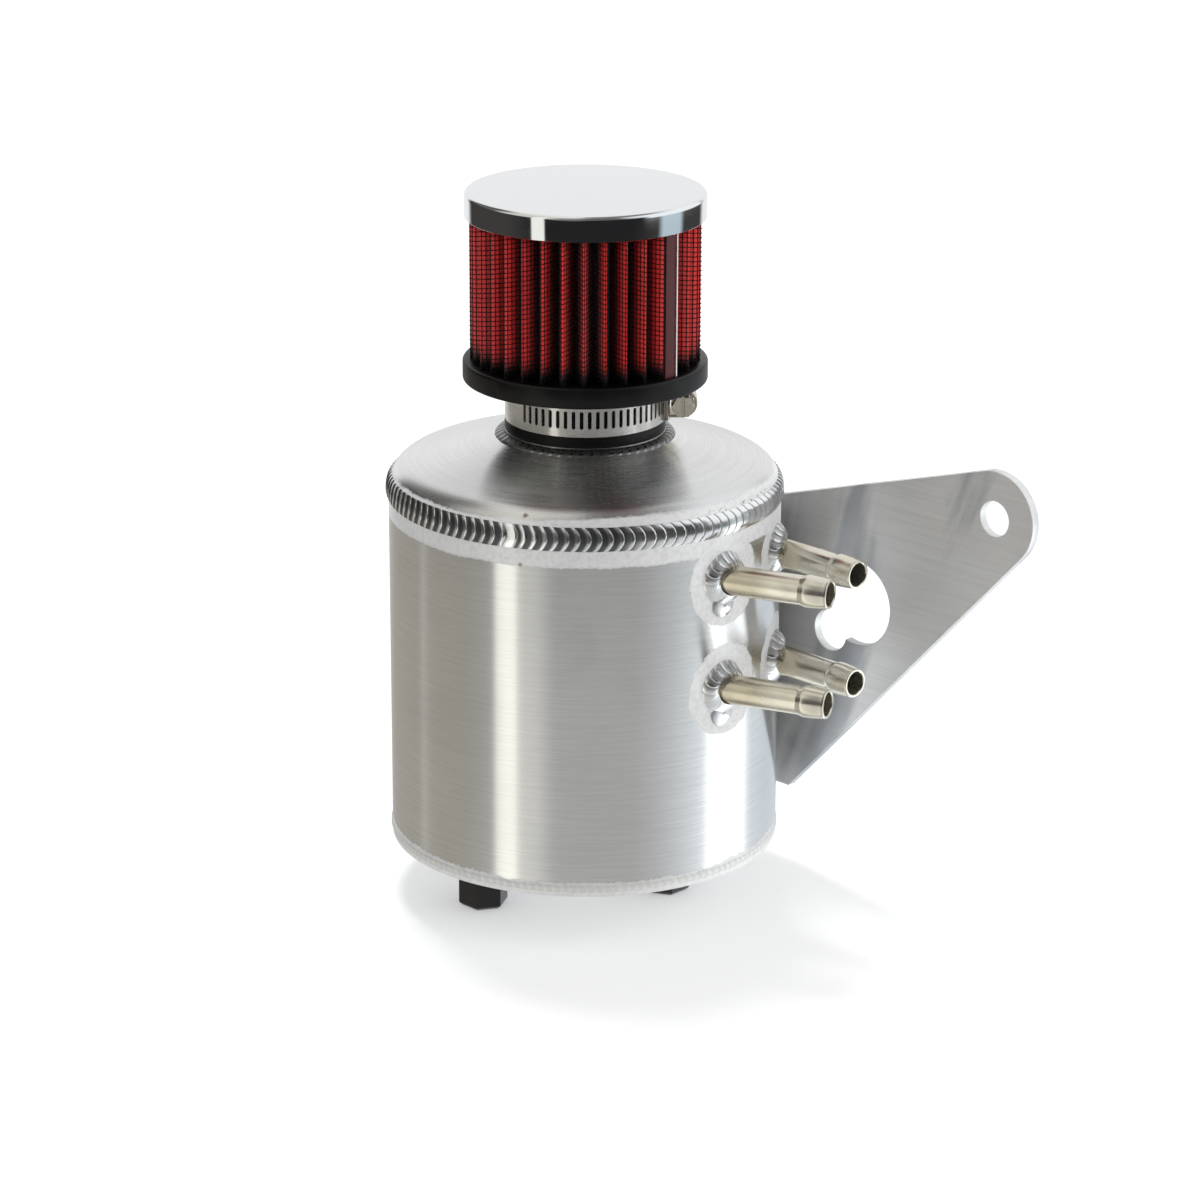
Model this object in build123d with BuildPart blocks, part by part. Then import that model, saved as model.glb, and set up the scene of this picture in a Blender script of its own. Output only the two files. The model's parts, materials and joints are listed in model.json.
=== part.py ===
"""Oil catch can with a clamp-on breather filter, four hose tubes and a side bracket.

Millimetres, +Z up. The origin is on the can's axis, on the underside of its bottom plate.
+X runs along the bracket plate, and +Y points from the can to that plate.
"""
import os
from math import atan2, cos, degrees, radians, sin

from build123d import *

os.makedirs("parts", exist_ok=True)

# Can
can_od = 127.0
can_wall = 2.0
bottom_plate_thickness = 3.0
seam_height = 117.5          # joint between the body and the dome
weld_gap = 0.05              # room between a welded piece and the bead beside it
joint_gap = 0.1              # room round a piece that is set in a hole before welding

can_radius = can_od / 2
can_inner_radius = can_radius - can_wall

# Dome
dome_skirt = 0.6             # straight edge above the seam
shoulder_inset = 7.0         # where the shoulder bend ends, in from the wall
shoulder_rise = 9.0          # and how far up
crown_rise = 9.0             # from the end of the shoulder bend to the neck

# Beads round the can
top_bead_height = 6.4
top_bead_below = 1.9         # part of it below the seam
top_bead_proud = 0.9
top_bead_inset = 1.0         # its upper edge lies on the shoulder bend
bottom_bead_height = 3.2
bottom_bead_proud = 0.5

# Vent neck
neck_radius = 22.2
neck_wall = 2.4
neck_height = 15.0           # above its shoulder
neck_shoulder_radius = 26.0
neck_shoulder_height = 1.2   # shoulder above the dome
neck_shoulder_depth = 4.0    # shoulder below the dome's outside
neck_bead_width = 4.2
neck_bead_height = 1.0

# Hose tubes: a root angle is round the can's axis, a heading is the tube's own direction
tube_radius = 4.75
tube_wall = 1.0
tube_reach = 35.0            # from the can's surface to the tube's end
tube_inside = 5.0            # inside the can's surface
barb_length = 8.5
barb_step = 1.0
barb_proud = 0.5
upper_tube_drop = 17.2       # upper tubes below the seam
tube_spacing = 36.3          # from the lower tubes to the upper ones
front_root_angle = 0.0
front_heading = 20.0
rear_root_angle = 31.0
rear_heading = 0.0
tube_bead_radius = 9.5
tube_bead_top_radius = 6.6
tube_bead_height = 3.2
tube_bead_bulge = 0.9

# Bracket
bracket_thickness = 3.2
bolt_x = 118.5
bolt_z = 118.5
bolt_hole_radius = 5.75
ear_radius = 15.5
bracket_top_slope = 17.0     # degrees, rising towards the ear
bracket_low_slope = 46.8     # degrees
bracket_back_x = -20.0       # end hidden behind the can
bracket_foot_z = 5.5
bracket_corner = 5.0
window_x = 62.2
window_z = 77.2
window_radius = 14.2
notch_x = 51.0
notch_z = 65.1
notch_radius = 6.9
bracket_bead_inner = 9.0
bracket_bead_width = 5.0
bracket_bead_margin = 8.0    # bead ends short of the plate's edges

# Breather filter
filter_gap = 0.1             # rubber over the neck
sleeve_wall = 2.8
sleeve_lip = 0.8
sleeve_lip_height = 2.2
sleeve_length = 16.2         # from the neck's shoulder to the base ring
base_radius = 39.3
base_height = 6.8
base_round = 1.0
media_radius = 37.2
media_depth = 8.2
media_height = 46.2
media_thickness = 1.0
fold_radius = 1.2
pleat_count = 34
pleat_turn = -3.25           # degrees, from +X to the nearest crest
screen_gap = 0.5
screen_thickness = 0.7
screen_rows = 3
screen_columns = 10
screen_window_width = 12.0
screen_rib = 3.0
cap_radius = 38.5
cap_height = 8.3
cap_wall = 0.8
cap_round = 1.6
potting_gap = 0.1

# Worm-drive clamp
band_thickness = 0.65
band_width = 11.0
band_above_lip = 0.8
slot_length = 5.8
slot_width = 1.1
slot_pitch = 5.71            # degrees
slot_count = 22
slot_first = 27.0            # angle of the slot next to the housing
tail_gap = 0.05
tail_reach = 34.0            # degrees of free end past the housing
tail_slots = 4
clamp_angle = 45.0           # where the housing sits on the band
saddle_thickness = 0.8
saddle_length = 13.0
worm_radius = 3.5
worm_clearance = 0.4
worm_length = 14.0
housing_wall = 0.8
housing_length = 10.0
worm_neck_radius = 2.6
worm_head_width = 6.4
worm_head_length = 3.4
worm_slot_width = 1.0
worm_slot_depth = 1.4
worm_collar_radius = 3.8
worm_collar_length = 0.9

# Bottom fittings
fitting_places = [(-7.8, -38.9), (25.1, 13.1), (-28.3, 25.5)]
bung_radius = 11.0
bung_height = 8.0
thread_radius = 6.2
thread_gap = 0.06
thread_length = 9.0
hex_width = 14.3
hex_length = 11.0
hex_chamfer = 1.1
seal_radius = 8.6
seal_thickness = 0.5
outlet_radius = 2.0
cross_hole_height = 2.5

# Inside the can
baffle_thickness = 1.5
baffle_gap = 0.1
baffle_hole_radius = 3.5
baffle_ring_radii = [18.0, 36.0]
baffle_ring_holes = [6, 12]
pad_thickness = 10.0
pad_inset = 1.5
pad_clearance = 2.05         # below the upper tubes
slosh_height = 34.0
slosh_opening_radius = 20.0
slosh_slot_radius = 44.0
slosh_slot_count = 6
slosh_slot_hole_radius = 6.0


def export(part, label):
    part.label = label
    export_step(part, f"parts/{label}.step")


def on_can(angle, height):
    """Point on the can's outer surface."""
    return Vector(can_radius * cos(radians(angle)), can_radius * sin(radians(angle)), height)


def heading_vector(angle):
    return Vector(cos(radians(angle)), sin(radians(angle)), 0)


def upright_plane(origin, angle):
    """Upright plane through a point: its x follows the heading and its y is up."""
    return Plane(origin=origin, x_dir=heading_vector(angle), z_dir=heading_vector(angle - 90))


def facing_plane(origin, angle):
    """Plane square to a level heading."""
    return Plane(origin=origin, x_dir=heading_vector(angle + 90), z_dir=heading_vector(angle))


upper_tube_height = seam_height - upper_tube_drop
lower_tube_height = upper_tube_height - tube_spacing
tubes = {
    "front_upper": (upper_tube_height, front_root_angle, front_heading),
    "front_lower": (lower_tube_height, front_root_angle, front_heading),
    "rear_upper": (upper_tube_height, rear_root_angle, rear_heading),
    "rear_lower": (lower_tube_height, rear_root_angle, rear_heading),
}

# Can body: the tube stands on the bottom plate and is bored for the hose tubes
with BuildPart() as can_body:
    with BuildSketch(Plane.XY.offset(bottom_plate_thickness)):
        Circle(can_radius)
        Circle(can_inner_radius, mode=Mode.SUBTRACT)
    extrude(amount=seam_height - bottom_plate_thickness)
    for height, root_angle, heading in tubes.values():
        with BuildSketch(facing_plane(on_can(root_angle, height), heading)):
            Circle(tube_radius + joint_gap)
        extrude(amount=tube_bead_radius, both=True, mode=Mode.SUBTRACT)
export(can_body.part, "can_body")

# Bottom plate with a hole for each bung
with BuildPart() as bottom_plate:
    Cylinder(can_radius, bottom_plate_thickness, align=(Align.CENTER, Align.CENTER, Align.MIN))
    with Locations(*fitting_places):
        Hole(bung_radius + joint_gap)
export(bottom_plate.part, "bottom_plate")

# Dome: a bent shoulder, then a shallow cone up to the neck
neck_hole_radius = neck_shoulder_radius + joint_gap
shoulder_start = seam_height + dome_skirt
shoulder_end = (can_radius - shoulder_inset, shoulder_start + shoulder_rise)
neck_seat = shoulder_end[1] + crown_rise


def dome_outline():
    """Half section of the dome as if it were full, closed along the can's axis."""
    skirt = Line((can_radius, seam_height), (can_radius, shoulder_start))
    shoulder = TangentArc(skirt @ 1, shoulder_end, tangent=skirt % 1)
    crown = TangentArc(shoulder @ 1, (neck_hole_radius, neck_seat), tangent=shoulder % 1)
    Polyline(crown @ 1, (0, neck_seat), (0, seam_height), skirt @ 0)


with BuildPart() as top_dome:
    with BuildSketch(Plane.XZ):
        with BuildLine():
            dome_outline()
        make_face()
    revolve(axis=Axis.Z)
    offset(amount=-can_wall, openings=top_dome.faces().sort_by(Axis.Z)[0])
    with BuildSketch(Plane.XY.offset(seam_height)):
        Circle(neck_hole_radius)
    extrude(amount=neck_seat, mode=Mode.SUBTRACT)
export(top_dome.part, "top_dome")


# Top seam weld: a flat bead over the joint, from the wall up onto the shoulder bend
bead_wall = can_radius + weld_gap
bead_low = seam_height - top_bead_below
bead_top = bead_low + top_bead_height
with BuildPart() as top_seam_weld:
    with BuildSketch(Plane.XZ):
        with BuildLine():
            low = (bead_wall, bead_low)
            crest = (can_radius + top_bead_proud, (bead_low + bead_top) / 2)
            top = (can_radius - top_bead_inset, bead_top)
            ThreePointArc(low, crest, top)
            Polyline(top, (can_radius - top_bead_inset, shoulder_start), (bead_wall, shoulder_start), low)
        make_face()
    revolve(axis=Axis.Z)
    with BuildSketch(Plane.XZ):
        with BuildLine():
            dome_outline()
        make_face()
    revolve(axis=Axis.Z, mode=Mode.SUBTRACT)
export(top_seam_weld.part, "top_seam_weld")

# Bottom seam weld: a thin half-round bead over the joint with the bottom plate
with BuildPart() as bottom_seam_weld:
    with BuildSketch(Plane.XZ):
        with BuildLine():
            low = (bead_wall, bottom_plate_thickness - bottom_bead_height / 2)
            crest = (bead_wall + bottom_bead_proud, bottom_plate_thickness)
            top = (bead_wall, bottom_plate_thickness + bottom_bead_height / 2)
            ThreePointArc(low, crest, top)
            Line(top, low)
        make_face()
    revolve(axis=Axis.Z)
export(bottom_seam_weld.part, "bottom_seam_weld")

# Vent neck: a turned tube with the shoulder that the rubber sleeve stands on
neck_shoulder_top = neck_seat + neck_shoulder_height
neck_bottom = neck_seat - neck_shoulder_depth
neck_top = neck_shoulder_top + neck_height
with BuildPart() as vent_neck:
    with BuildSketch(Plane.XZ):
        with BuildLine():
            Polyline(
                (neck_radius - neck_wall, neck_bottom),
                (neck_shoulder_radius, neck_bottom),
                (neck_shoulder_radius, neck_shoulder_top),
                (neck_radius, neck_shoulder_top),
                (neck_radius, neck_top),
                (neck_radius - neck_wall, neck_top),
                close=True,
            )
        make_face()
    revolve(axis=Axis.Z)
export(vent_neck.part, "vent_neck")

# Neck weld: a low fillet that fills the corner between the dome and the shoulder
with BuildPart() as neck_weld:
    with BuildSketch(Plane.XZ):
        inner = neck_shoulder_radius + weld_gap
        neck_bead_top = neck_seat + neck_bead_height
        with BuildLine():
            Polyline((inner, neck_bead_top), (inner, neck_bottom), (inner + neck_bead_width, neck_bottom))
            foot = (inner + neck_bead_width, neck_seat - neck_bead_width * crown_rise
                    / (shoulder_end[0] - neck_hole_radius))
            Line((inner + neck_bead_width, neck_bottom), foot)
            crest = (inner + neck_bead_width / 2, neck_seat + neck_bead_height / 2)
            ThreePointArc(foot, crest, (inner, neck_bead_top))
        make_face()
    revolve(axis=Axis.Z)
    with BuildSketch(Plane.XZ):
        with BuildLine():
            dome_outline()
        make_face()
    revolve(axis=Axis.Z, mode=Mode.SUBTRACT)
export(neck_weld.part, "neck_weld")

# Hose tubes, each with a raised barb near its end, and the weld at its root
for name, (height, root_angle, heading) in tubes.items():
    root = on_can(root_angle, height)
    tube_axis = Axis(root, heading_vector(heading))
    bore_radius = tube_radius - tube_wall
    with BuildPart() as hose_tube:
        with BuildSketch(upright_plane(root, heading)):
            with BuildLine():
                Polyline(
                    (-tube_inside, bore_radius),
                    (tube_reach, bore_radius),
                    (tube_reach, tube_radius),
                    (tube_reach - barb_length + barb_step, tube_radius + barb_proud),
                    (tube_reach - barb_length, tube_radius),
                    (-tube_inside, tube_radius),
                    close=True,
                )
            make_face()
        revolve(axis=tube_axis)
    export(hose_tube.part, f"hose_tube_{name}")

    with BuildPart() as tube_weld:
        with BuildSketch(upright_plane(root, root_angle)):
            with BuildLine():
                foot = (0, tube_bead_radius)
                top = (tube_bead_height, tube_bead_top_radius)
                middle = (
                    tube_bead_height / 2 + tube_bead_bulge / 2,
                    (tube_bead_radius + tube_bead_top_radius) / 2 + tube_bead_bulge / 2,
                )
                Polyline(top, (tube_bead_height, 0), (-can_wall, 0), (-can_wall, tube_bead_radius), foot)
                ThreePointArc(foot, middle, top)
            make_face()
        revolve(axis=Axis(root, heading_vector(root_angle)))
        with BuildSketch(Plane.XY):
            Circle(can_radius + weld_gap)
        extrude(amount=seam_height, mode=Mode.SUBTRACT)
        with BuildSketch(facing_plane(root, heading)):
            Circle(tube_radius + weld_gap)
        extrude(amount=tube_reach, both=True, mode=Mode.SUBTRACT)
    export(tube_weld.part, f"hose_weld_{name}")

# Mounting bracket: two straight edges that run off the ear, a bolt hole and a window
top_direction = radians(bracket_top_slope)
low_direction = radians(bracket_low_slope)
ear_top = (bolt_x - ear_radius * sin(top_direction), bolt_z + ear_radius * cos(top_direction))
ear_low = (bolt_x + ear_radius * sin(low_direction), bolt_z - ear_radius * cos(low_direction))
ear_middle_angle = (low_direction - top_direction) / 2
ear_middle = (bolt_x + ear_radius * cos(ear_middle_angle), bolt_z - ear_radius * sin(ear_middle_angle))
back_top_z = ear_top[1] - (ear_top[0] - bracket_back_x) * sin(top_direction) / cos(top_direction)
foot_x = ear_low[0] - (ear_low[1] - bracket_foot_z) * cos(low_direction) / sin(low_direction)
bracket_front = Plane(origin=(0, can_radius, 0), x_dir=(1, 0, 0), z_dir=(0, -1, 0))
with BuildPart() as mounting_bracket:
    with BuildSketch(bracket_front):
        with BuildLine():
            RadiusArc(ear_top, ear_low, ear_radius)
            Polyline(
                ear_low,
                (foot_x, bracket_foot_z),
                (bracket_back_x, bracket_foot_z),
                (bracket_back_x, back_top_z),
                ear_top,
            )
        make_face()
        with Locations((bolt_x, bolt_z)):
            Circle(bolt_hole_radius, mode=Mode.SUBTRACT)
        with Locations((window_x, window_z)):
            Circle(window_radius, mode=Mode.SUBTRACT)
        with Locations((notch_x, notch_z)):
            Circle(notch_radius, mode=Mode.SUBTRACT)
    extrude(amount=-bracket_thickness)
    corners = mounting_bracket.edges().filter_by(Axis.Y)
    fillet(corners.group_by(Axis.X)[0], bracket_corner)
export(mounting_bracket.part, "mounting_bracket")

# Bracket welds: two beads in the wedge between the can and the plate
bead_low_z = bracket_foot_z + bracket_bead_margin
bead_high_z = back_top_z - bracket_bead_margin
with BuildPart() as bracket_welds:
    with BuildSketch(Plane.XY.offset(bead_low_z)):
        for side in (-1, 1):
            with Locations((side * (bracket_bead_inner + bracket_bead_width / 2), can_radius)):
                Rectangle(bracket_bead_width, can_wall, align=(Align.CENTER, Align.MAX))
        Circle(can_radius + weld_gap, mode=Mode.SUBTRACT)
    extrude(amount=bead_high_z - bead_low_z)
export(bracket_welds.part, "bracket_welds")

# Rubber base of the filter: a sleeve with a lip, and the ring that carries the media
sleeve_inner = neck_radius + filter_gap
sleeve_outer = sleeve_inner + sleeve_wall
sleeve_bottom = neck_shoulder_top + filter_gap
base_bottom = sleeve_bottom + sleeve_length
base_top = base_bottom + base_height
lip_top = sleeve_bottom + sleeve_lip_height
with BuildPart() as filter_base:
    with BuildSketch(Plane.XZ):
        with BuildLine():
            Polyline(
                (sleeve_inner, sleeve_bottom),
                (sleeve_outer + sleeve_lip, sleeve_bottom),
                (sleeve_outer + sleeve_lip, lip_top),
                (sleeve_outer, lip_top + sleeve_lip),
                (sleeve_outer, base_bottom),
                (base_radius, base_bottom),
                (base_radius, base_top),
                (sleeve_inner, base_top),
                close=True,
            )
        base_face = make_face()
        rim = base_face.vertices().group_by(Axis.X)[-1]
        fillet(rim, base_round)
    revolve(axis=Axis.Z)
export(filter_base.part, "filter_base")

# Pleated media: one folded sheet, closed on itself
media_top = base_top + media_height


def polar(radius, angle):
    return (radius * cos(radians(angle)), radius * sin(radians(angle)))


def pleat_outline(crest_bend, valley_bend):
    """Closed wavy outline: crests bend with one radius, valleys with the other."""
    crest_centre = media_radius - media_thickness / 2 - fold_radius
    valley_centre = media_radius - media_depth + media_thickness / 2 + fold_radius
    crest_half = degrees(atan2(crest_bend, crest_centre))
    valley_half = degrees(atan2(valley_bend, valley_centre))
    step = 360 / pleat_count
    for pleat in range(pleat_count):
        crest = pleat_turn + pleat * step
        valley = crest + step / 2
        leaving = polar(crest_centre, crest + crest_half)
        entering = polar(valley_centre, valley - valley_half)
        rising = polar(valley_centre, valley + valley_half)
        arriving = polar(crest_centre, crest + step - crest_half)
        ThreePointArc(
            polar(crest_centre, crest - crest_half), polar(crest_centre + crest_bend, crest), leaving
        )
        Line(leaving, entering)
        ThreePointArc(entering, polar(valley_centre - valley_bend, valley), rising)
        Line(rising, arriving)


wide_bend = fold_radius + media_thickness / 2
tight_bend = fold_radius - media_thickness / 2
with BuildPart() as filter_media:
    with BuildSketch(Plane.XY.offset(base_top)):
        with BuildLine():
            pleat_outline(wide_bend, tight_bend)
        make_face()
        with BuildLine():
            pleat_outline(tight_bend, wide_bend)
        make_face(mode=Mode.SUBTRACT)
    extrude(amount=media_height)
export(filter_media.part, "filter_media")

# Inner screen: a sheet-metal sleeve with rows of windows, inside the folds
screen_outer = media_radius - media_depth - screen_gap
window_height = (media_height - screen_rib * (screen_rows + 1)) / screen_rows
with BuildPart() as filter_inner_screen:
    with BuildSketch(Plane.XY.offset(base_top)):
        Circle(screen_outer)
        Circle(screen_outer - screen_thickness, mode=Mode.SUBTRACT)
    extrude(amount=media_height)
    for row in range(screen_rows):
        window_middle = base_top + screen_rib + window_height / 2 + row * (window_height + screen_rib)
        for column in range(screen_columns):
            window_angle = column * 360 / screen_columns
            with BuildSketch(facing_plane((0, 0, window_middle), window_angle)):
                Rectangle(screen_window_width, window_height)
            extrude(amount=screen_outer + screen_gap, mode=Mode.SUBTRACT)
export(filter_inner_screen.part, "filter_inner_screen")

# Chrome cap: a pressed cup over the potting
cap_top = media_top + cap_height
with BuildPart() as filter_cap:
    with BuildSketch(Plane.XY.offset(media_top)):
        Circle(cap_radius)
    extrude(amount=cap_height)
    fillet(filter_cap.edges().group_by(Axis.Z)[-1], cap_round)
    offset(amount=-cap_wall, openings=filter_cap.faces().sort_by(Axis.Z)[0])
export(filter_cap.part, "filter_cap")

with BuildPart() as filter_potting:
    with BuildSketch(Plane.XY.offset(media_top)):
        Circle(cap_radius - cap_wall - potting_gap)
    extrude(amount=cap_height - cap_wall - potting_gap)
    fillet(filter_potting.edges().group_by(Axis.Z)[-1], cap_round - cap_wall)
export(filter_potting.part, "filter_potting")

# Clamp band: a slotted strip whose free end overlaps under the housing
band_inner = sleeve_outer + filter_gap / 2
band_outer = band_inner + band_thickness
band_bottom = lip_top + band_above_lip + sleeve_lip / 2
band_middle = band_bottom + band_width / 2
tail_inner = band_outer + tail_gap
tail_outer = tail_inner + band_thickness
saddle_inner = tail_outer + tail_gap
saddle_outer = saddle_inner + saddle_thickness
saddle_half = degrees(atan2(saddle_length / 2, saddle_outer))
tail_start = clamp_angle - saddle_half
tail_end = clamp_angle + tail_reach


def ring_sector(inner, outer, start, end):
    """Closed outline of a piece of a ring between two angles."""
    middle = (start + end) / 2
    ThreePointArc(polar(outer, start), polar(outer, middle), polar(outer, end))
    Line(polar(outer, end), polar(inner, end))
    ThreePointArc(polar(inner, end), polar(inner, middle), polar(inner, start))
    Line(polar(inner, start), polar(outer, start))


band_slots = [
    facing_plane((0, 0, band_middle), slot_first - slot * slot_pitch) for slot in range(slot_count)
]
tail_slot_planes = [
    facing_plane((0, 0, band_middle), tail_end - (slot + 1) * slot_pitch)
    for slot in range(tail_slots)
]


with BuildPart() as clamp_band:
    with BuildSketch(Plane.XY.offset(band_bottom)):
        Circle(band_outer)
        Circle(band_inner, mode=Mode.SUBTRACT)
    extrude(amount=band_width)
    with BuildSketch(*band_slots):
        Rectangle(slot_width, slot_length)
    extrude(amount=saddle_outer, mode=Mode.SUBTRACT)
export(clamp_band.part, "clamp_band")

with BuildPart() as clamp_tail:
    with BuildSketch(Plane.XY.offset(band_bottom)):
        with BuildLine():
            ring_sector(tail_inner, tail_outer, tail_start, tail_end)
        make_face()
    extrude(amount=band_width)
    with BuildSketch(*tail_slot_planes):
        Rectangle(slot_width, slot_length)
    extrude(amount=saddle_outer, mode=Mode.SUBTRACT)
export(clamp_tail.part, "clamp_band_tail")

# Clamp housing: a curved saddle with a tunnel over the worm
worm_distance = saddle_outer + worm_clearance + worm_radius
worm_centre = Vector(*polar(worm_distance, clamp_angle), band_middle)
worm_heading = clamp_angle - 90
tunnel_inner = worm_radius + worm_clearance
tunnel_outer = tunnel_inner + housing_wall
across_worm = Plane(
    origin=worm_centre, x_dir=heading_vector(clamp_angle), z_dir=heading_vector(worm_heading)
)
leg_foot = saddle_inner - worm_distance
with BuildPart() as clamp_housing:
    with BuildSketch(Plane.XY.offset(band_bottom)):
        with BuildLine():
            ring_sector(
                saddle_inner, saddle_outer, clamp_angle - saddle_half, clamp_angle + saddle_half
            )
        make_face()
    extrude(amount=band_width)
    with BuildSketch(across_worm):
        Circle(tunnel_outer)
        with Locations((leg_foot / 2, 0)):
            Rectangle(-leg_foot, 2 * tunnel_outer)
        Circle(tunnel_inner, mode=Mode.SUBTRACT)
        with Locations((leg_foot / 2, 0)):
            Rectangle(-leg_foot, 2 * tunnel_inner, mode=Mode.SUBTRACT)
    extrude(amount=housing_length / 2, both=True)
    with BuildSketch(Plane.XY.offset(band_bottom)):
        Circle(saddle_inner)
    extrude(amount=band_width, mode=Mode.SUBTRACT)
export(clamp_housing.part, "clamp_housing")

# Worm screw: thread body, neck, collar and a slotted hexagon head towards the front
with BuildPart() as clamp_screw:
    with BuildSketch(across_worm.offset(-worm_length / 2)):
        Circle(worm_neck_radius)
    extrude(amount=worm_length)
    with BuildSketch(across_worm.offset(-housing_length / 2)):
        Circle(worm_radius)
    extrude(amount=housing_length)
    with BuildSketch(across_worm.offset(housing_length / 2 + worm_clearance)):
        Circle(worm_collar_radius)
    extrude(amount=worm_collar_length)
    head_start = housing_length / 2 + worm_clearance + worm_collar_length
    with BuildSketch(across_worm.offset(head_start)):
        RegularPolygon(worm_head_width / 2, 6, major_radius=False)
    extrude(amount=worm_head_length)
    with BuildSketch(across_worm.offset(head_start + worm_head_length)):
        Rectangle(worm_slot_width, 2 * worm_head_width)
    extrude(amount=-worm_slot_depth, mode=Mode.SUBTRACT)
export(clamp_screw.part, "clamp_screw")

# Bungs: round bosses let into the bottom plate
bung_bottom = -bung_height
thread_top = -bung_height - seal_thickness + thread_length
with BuildPart() as base_bungs:
    with Locations(*[Location((x, y, bung_bottom)) for x, y in fitting_places]):
        Cylinder(
            bung_radius, bung_height + bottom_plate_thickness,
            align=(Align.CENTER, Align.CENTER, Align.MIN),
        )
        Cylinder(
            thread_radius + thread_gap, bung_height + bottom_plate_thickness,
            align=(Align.CENTER, Align.CENTER, Align.MIN), mode=Mode.SUBTRACT,
        )
export(base_bungs.part, "base_bungs")

seal_top = bung_bottom
hex_top = seal_top - seal_thickness
hex_bottom = hex_top - hex_length


def fitting(x, y, turn):
    """Hexagon head with its threaded shank, as one turned piece."""
    with BuildPart() as plug:
        with BuildSketch(Plane.XY.offset(hex_bottom)):
            with Locations((x, y)):
                RegularPolygon(hex_width / 2, 6, major_radius=False, rotation=turn)
        extrude(amount=hex_length)
        chamfer(plug.faces().sort_by(Axis.Z)[0].edges(), hex_chamfer)
        with BuildSketch(Plane.XY.offset(hex_top)):
            with Locations((x, y)):
                Circle(thread_radius)
        extrude(amount=thread_length)
    return plug.part


def seal(x, y):
    with BuildPart() as ring:
        with BuildSketch(Plane.XY.offset(hex_top)):
            with Locations((x, y)):
                Circle(seal_radius)
                Circle(thread_radius + thread_gap, mode=Mode.SUBTRACT)
        extrude(amount=seal_thickness)
    return ring.part


drain_x, drain_y = fitting_places[0]
with BuildPart() as drain_cock:
    add(fitting(drain_x, drain_y, 0))
    with BuildSketch(Plane.XY.offset(hex_bottom)):
        with Locations((drain_x, drain_y)):
            Circle(outlet_radius)
    extrude(amount=hex_length + cross_hole_height + outlet_radius, mode=Mode.SUBTRACT)
export(drain_cock.part, "drain_cock")
export(seal(drain_x, drain_y), "drain_seal")

plug_turns = [30, 0]
for name, place, turn in zip(("right", "rear"), fitting_places[1:], plug_turns):
    export(fitting(*place, turn), f"blank_plug_{name}")
    export(seal(*place), f"plug_seal_{name}")

# Baffles, and the mesh pad that lies on the upper one
disc_radius = can_inner_radius - baffle_gap
pad_top = upper_tube_height - tube_radius - pad_clearance
baffle_height = pad_top - pad_thickness - baffle_thickness
with BuildPart() as baffle_plate:
    with BuildSketch(Plane.XY.offset(baffle_height)):
        Circle(disc_radius)
        for ring_radius, holes in zip(baffle_ring_radii, baffle_ring_holes):
            with PolarLocations(ring_radius, holes):
                Circle(baffle_hole_radius, mode=Mode.SUBTRACT)
    extrude(amount=baffle_thickness)
export(baffle_plate.part, "baffle_plate")

with BuildPart() as mesh_pad:
    with BuildSketch(Plane.XY.offset(baffle_height + baffle_thickness)):
        Circle(disc_radius - pad_inset)
    extrude(amount=pad_thickness)
export(mesh_pad.part, "mesh_pad")

with BuildPart() as slosh_baffle:
    with BuildSketch(Plane.XY.offset(slosh_height)):
        Circle(disc_radius)
        Circle(slosh_opening_radius, mode=Mode.SUBTRACT)
        with PolarLocations(slosh_slot_radius, slosh_slot_count):
            Circle(slosh_slot_hole_radius, mode=Mode.SUBTRACT)
    extrude(amount=baffle_thickness)
export(slosh_baffle.part, "slosh_baffle")
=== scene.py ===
# %% [markdown]
# An oil catch can: a welded aluminium pot with a small breather filter clamped on its neck,
# four hose tubes at its side and a flat bracket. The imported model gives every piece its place.
# This script gives each piece the surface that the real one has: brushed and etched sheet,
# rippled weld beads, red cotton under black wire, chrome, rubber and stamped steel.

import json
from math import asin, atan2, cos, hypot, pi, radians, sin, tau

import bmesh
import bpy
from mathutils import Matrix, Vector


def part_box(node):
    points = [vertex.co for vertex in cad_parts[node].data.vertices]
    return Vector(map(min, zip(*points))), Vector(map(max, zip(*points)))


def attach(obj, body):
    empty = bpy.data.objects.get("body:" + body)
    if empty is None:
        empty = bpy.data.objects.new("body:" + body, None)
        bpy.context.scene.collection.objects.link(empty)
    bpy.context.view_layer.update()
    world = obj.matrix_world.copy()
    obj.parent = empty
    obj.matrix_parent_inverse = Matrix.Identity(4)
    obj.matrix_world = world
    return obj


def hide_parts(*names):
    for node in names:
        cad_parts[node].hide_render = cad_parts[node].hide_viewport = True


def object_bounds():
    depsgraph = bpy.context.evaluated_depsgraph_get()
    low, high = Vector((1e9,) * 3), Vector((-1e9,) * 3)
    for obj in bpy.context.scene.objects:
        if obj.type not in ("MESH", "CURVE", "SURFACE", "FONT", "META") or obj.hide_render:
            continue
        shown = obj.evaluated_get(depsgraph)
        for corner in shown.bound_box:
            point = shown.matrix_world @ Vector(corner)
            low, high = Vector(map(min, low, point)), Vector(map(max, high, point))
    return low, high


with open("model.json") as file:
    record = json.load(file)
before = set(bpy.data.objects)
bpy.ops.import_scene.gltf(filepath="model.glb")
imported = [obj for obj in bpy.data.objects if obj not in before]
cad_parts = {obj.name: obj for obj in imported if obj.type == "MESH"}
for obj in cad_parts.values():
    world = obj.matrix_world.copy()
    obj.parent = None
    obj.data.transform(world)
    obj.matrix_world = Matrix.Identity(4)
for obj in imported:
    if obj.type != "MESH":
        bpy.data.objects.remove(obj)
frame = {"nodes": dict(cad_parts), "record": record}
cad_low, cad_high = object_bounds()
scene = bpy.context.scene
MM = 0.001
print("nodes in the frame:", len(frame["nodes"]))

# %% [markdown]
# Every size that the looks need is read from the frame, so a change in the model moves the
# finish with it. A node's box gives radii and heights, because the can stands on the origin.

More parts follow.
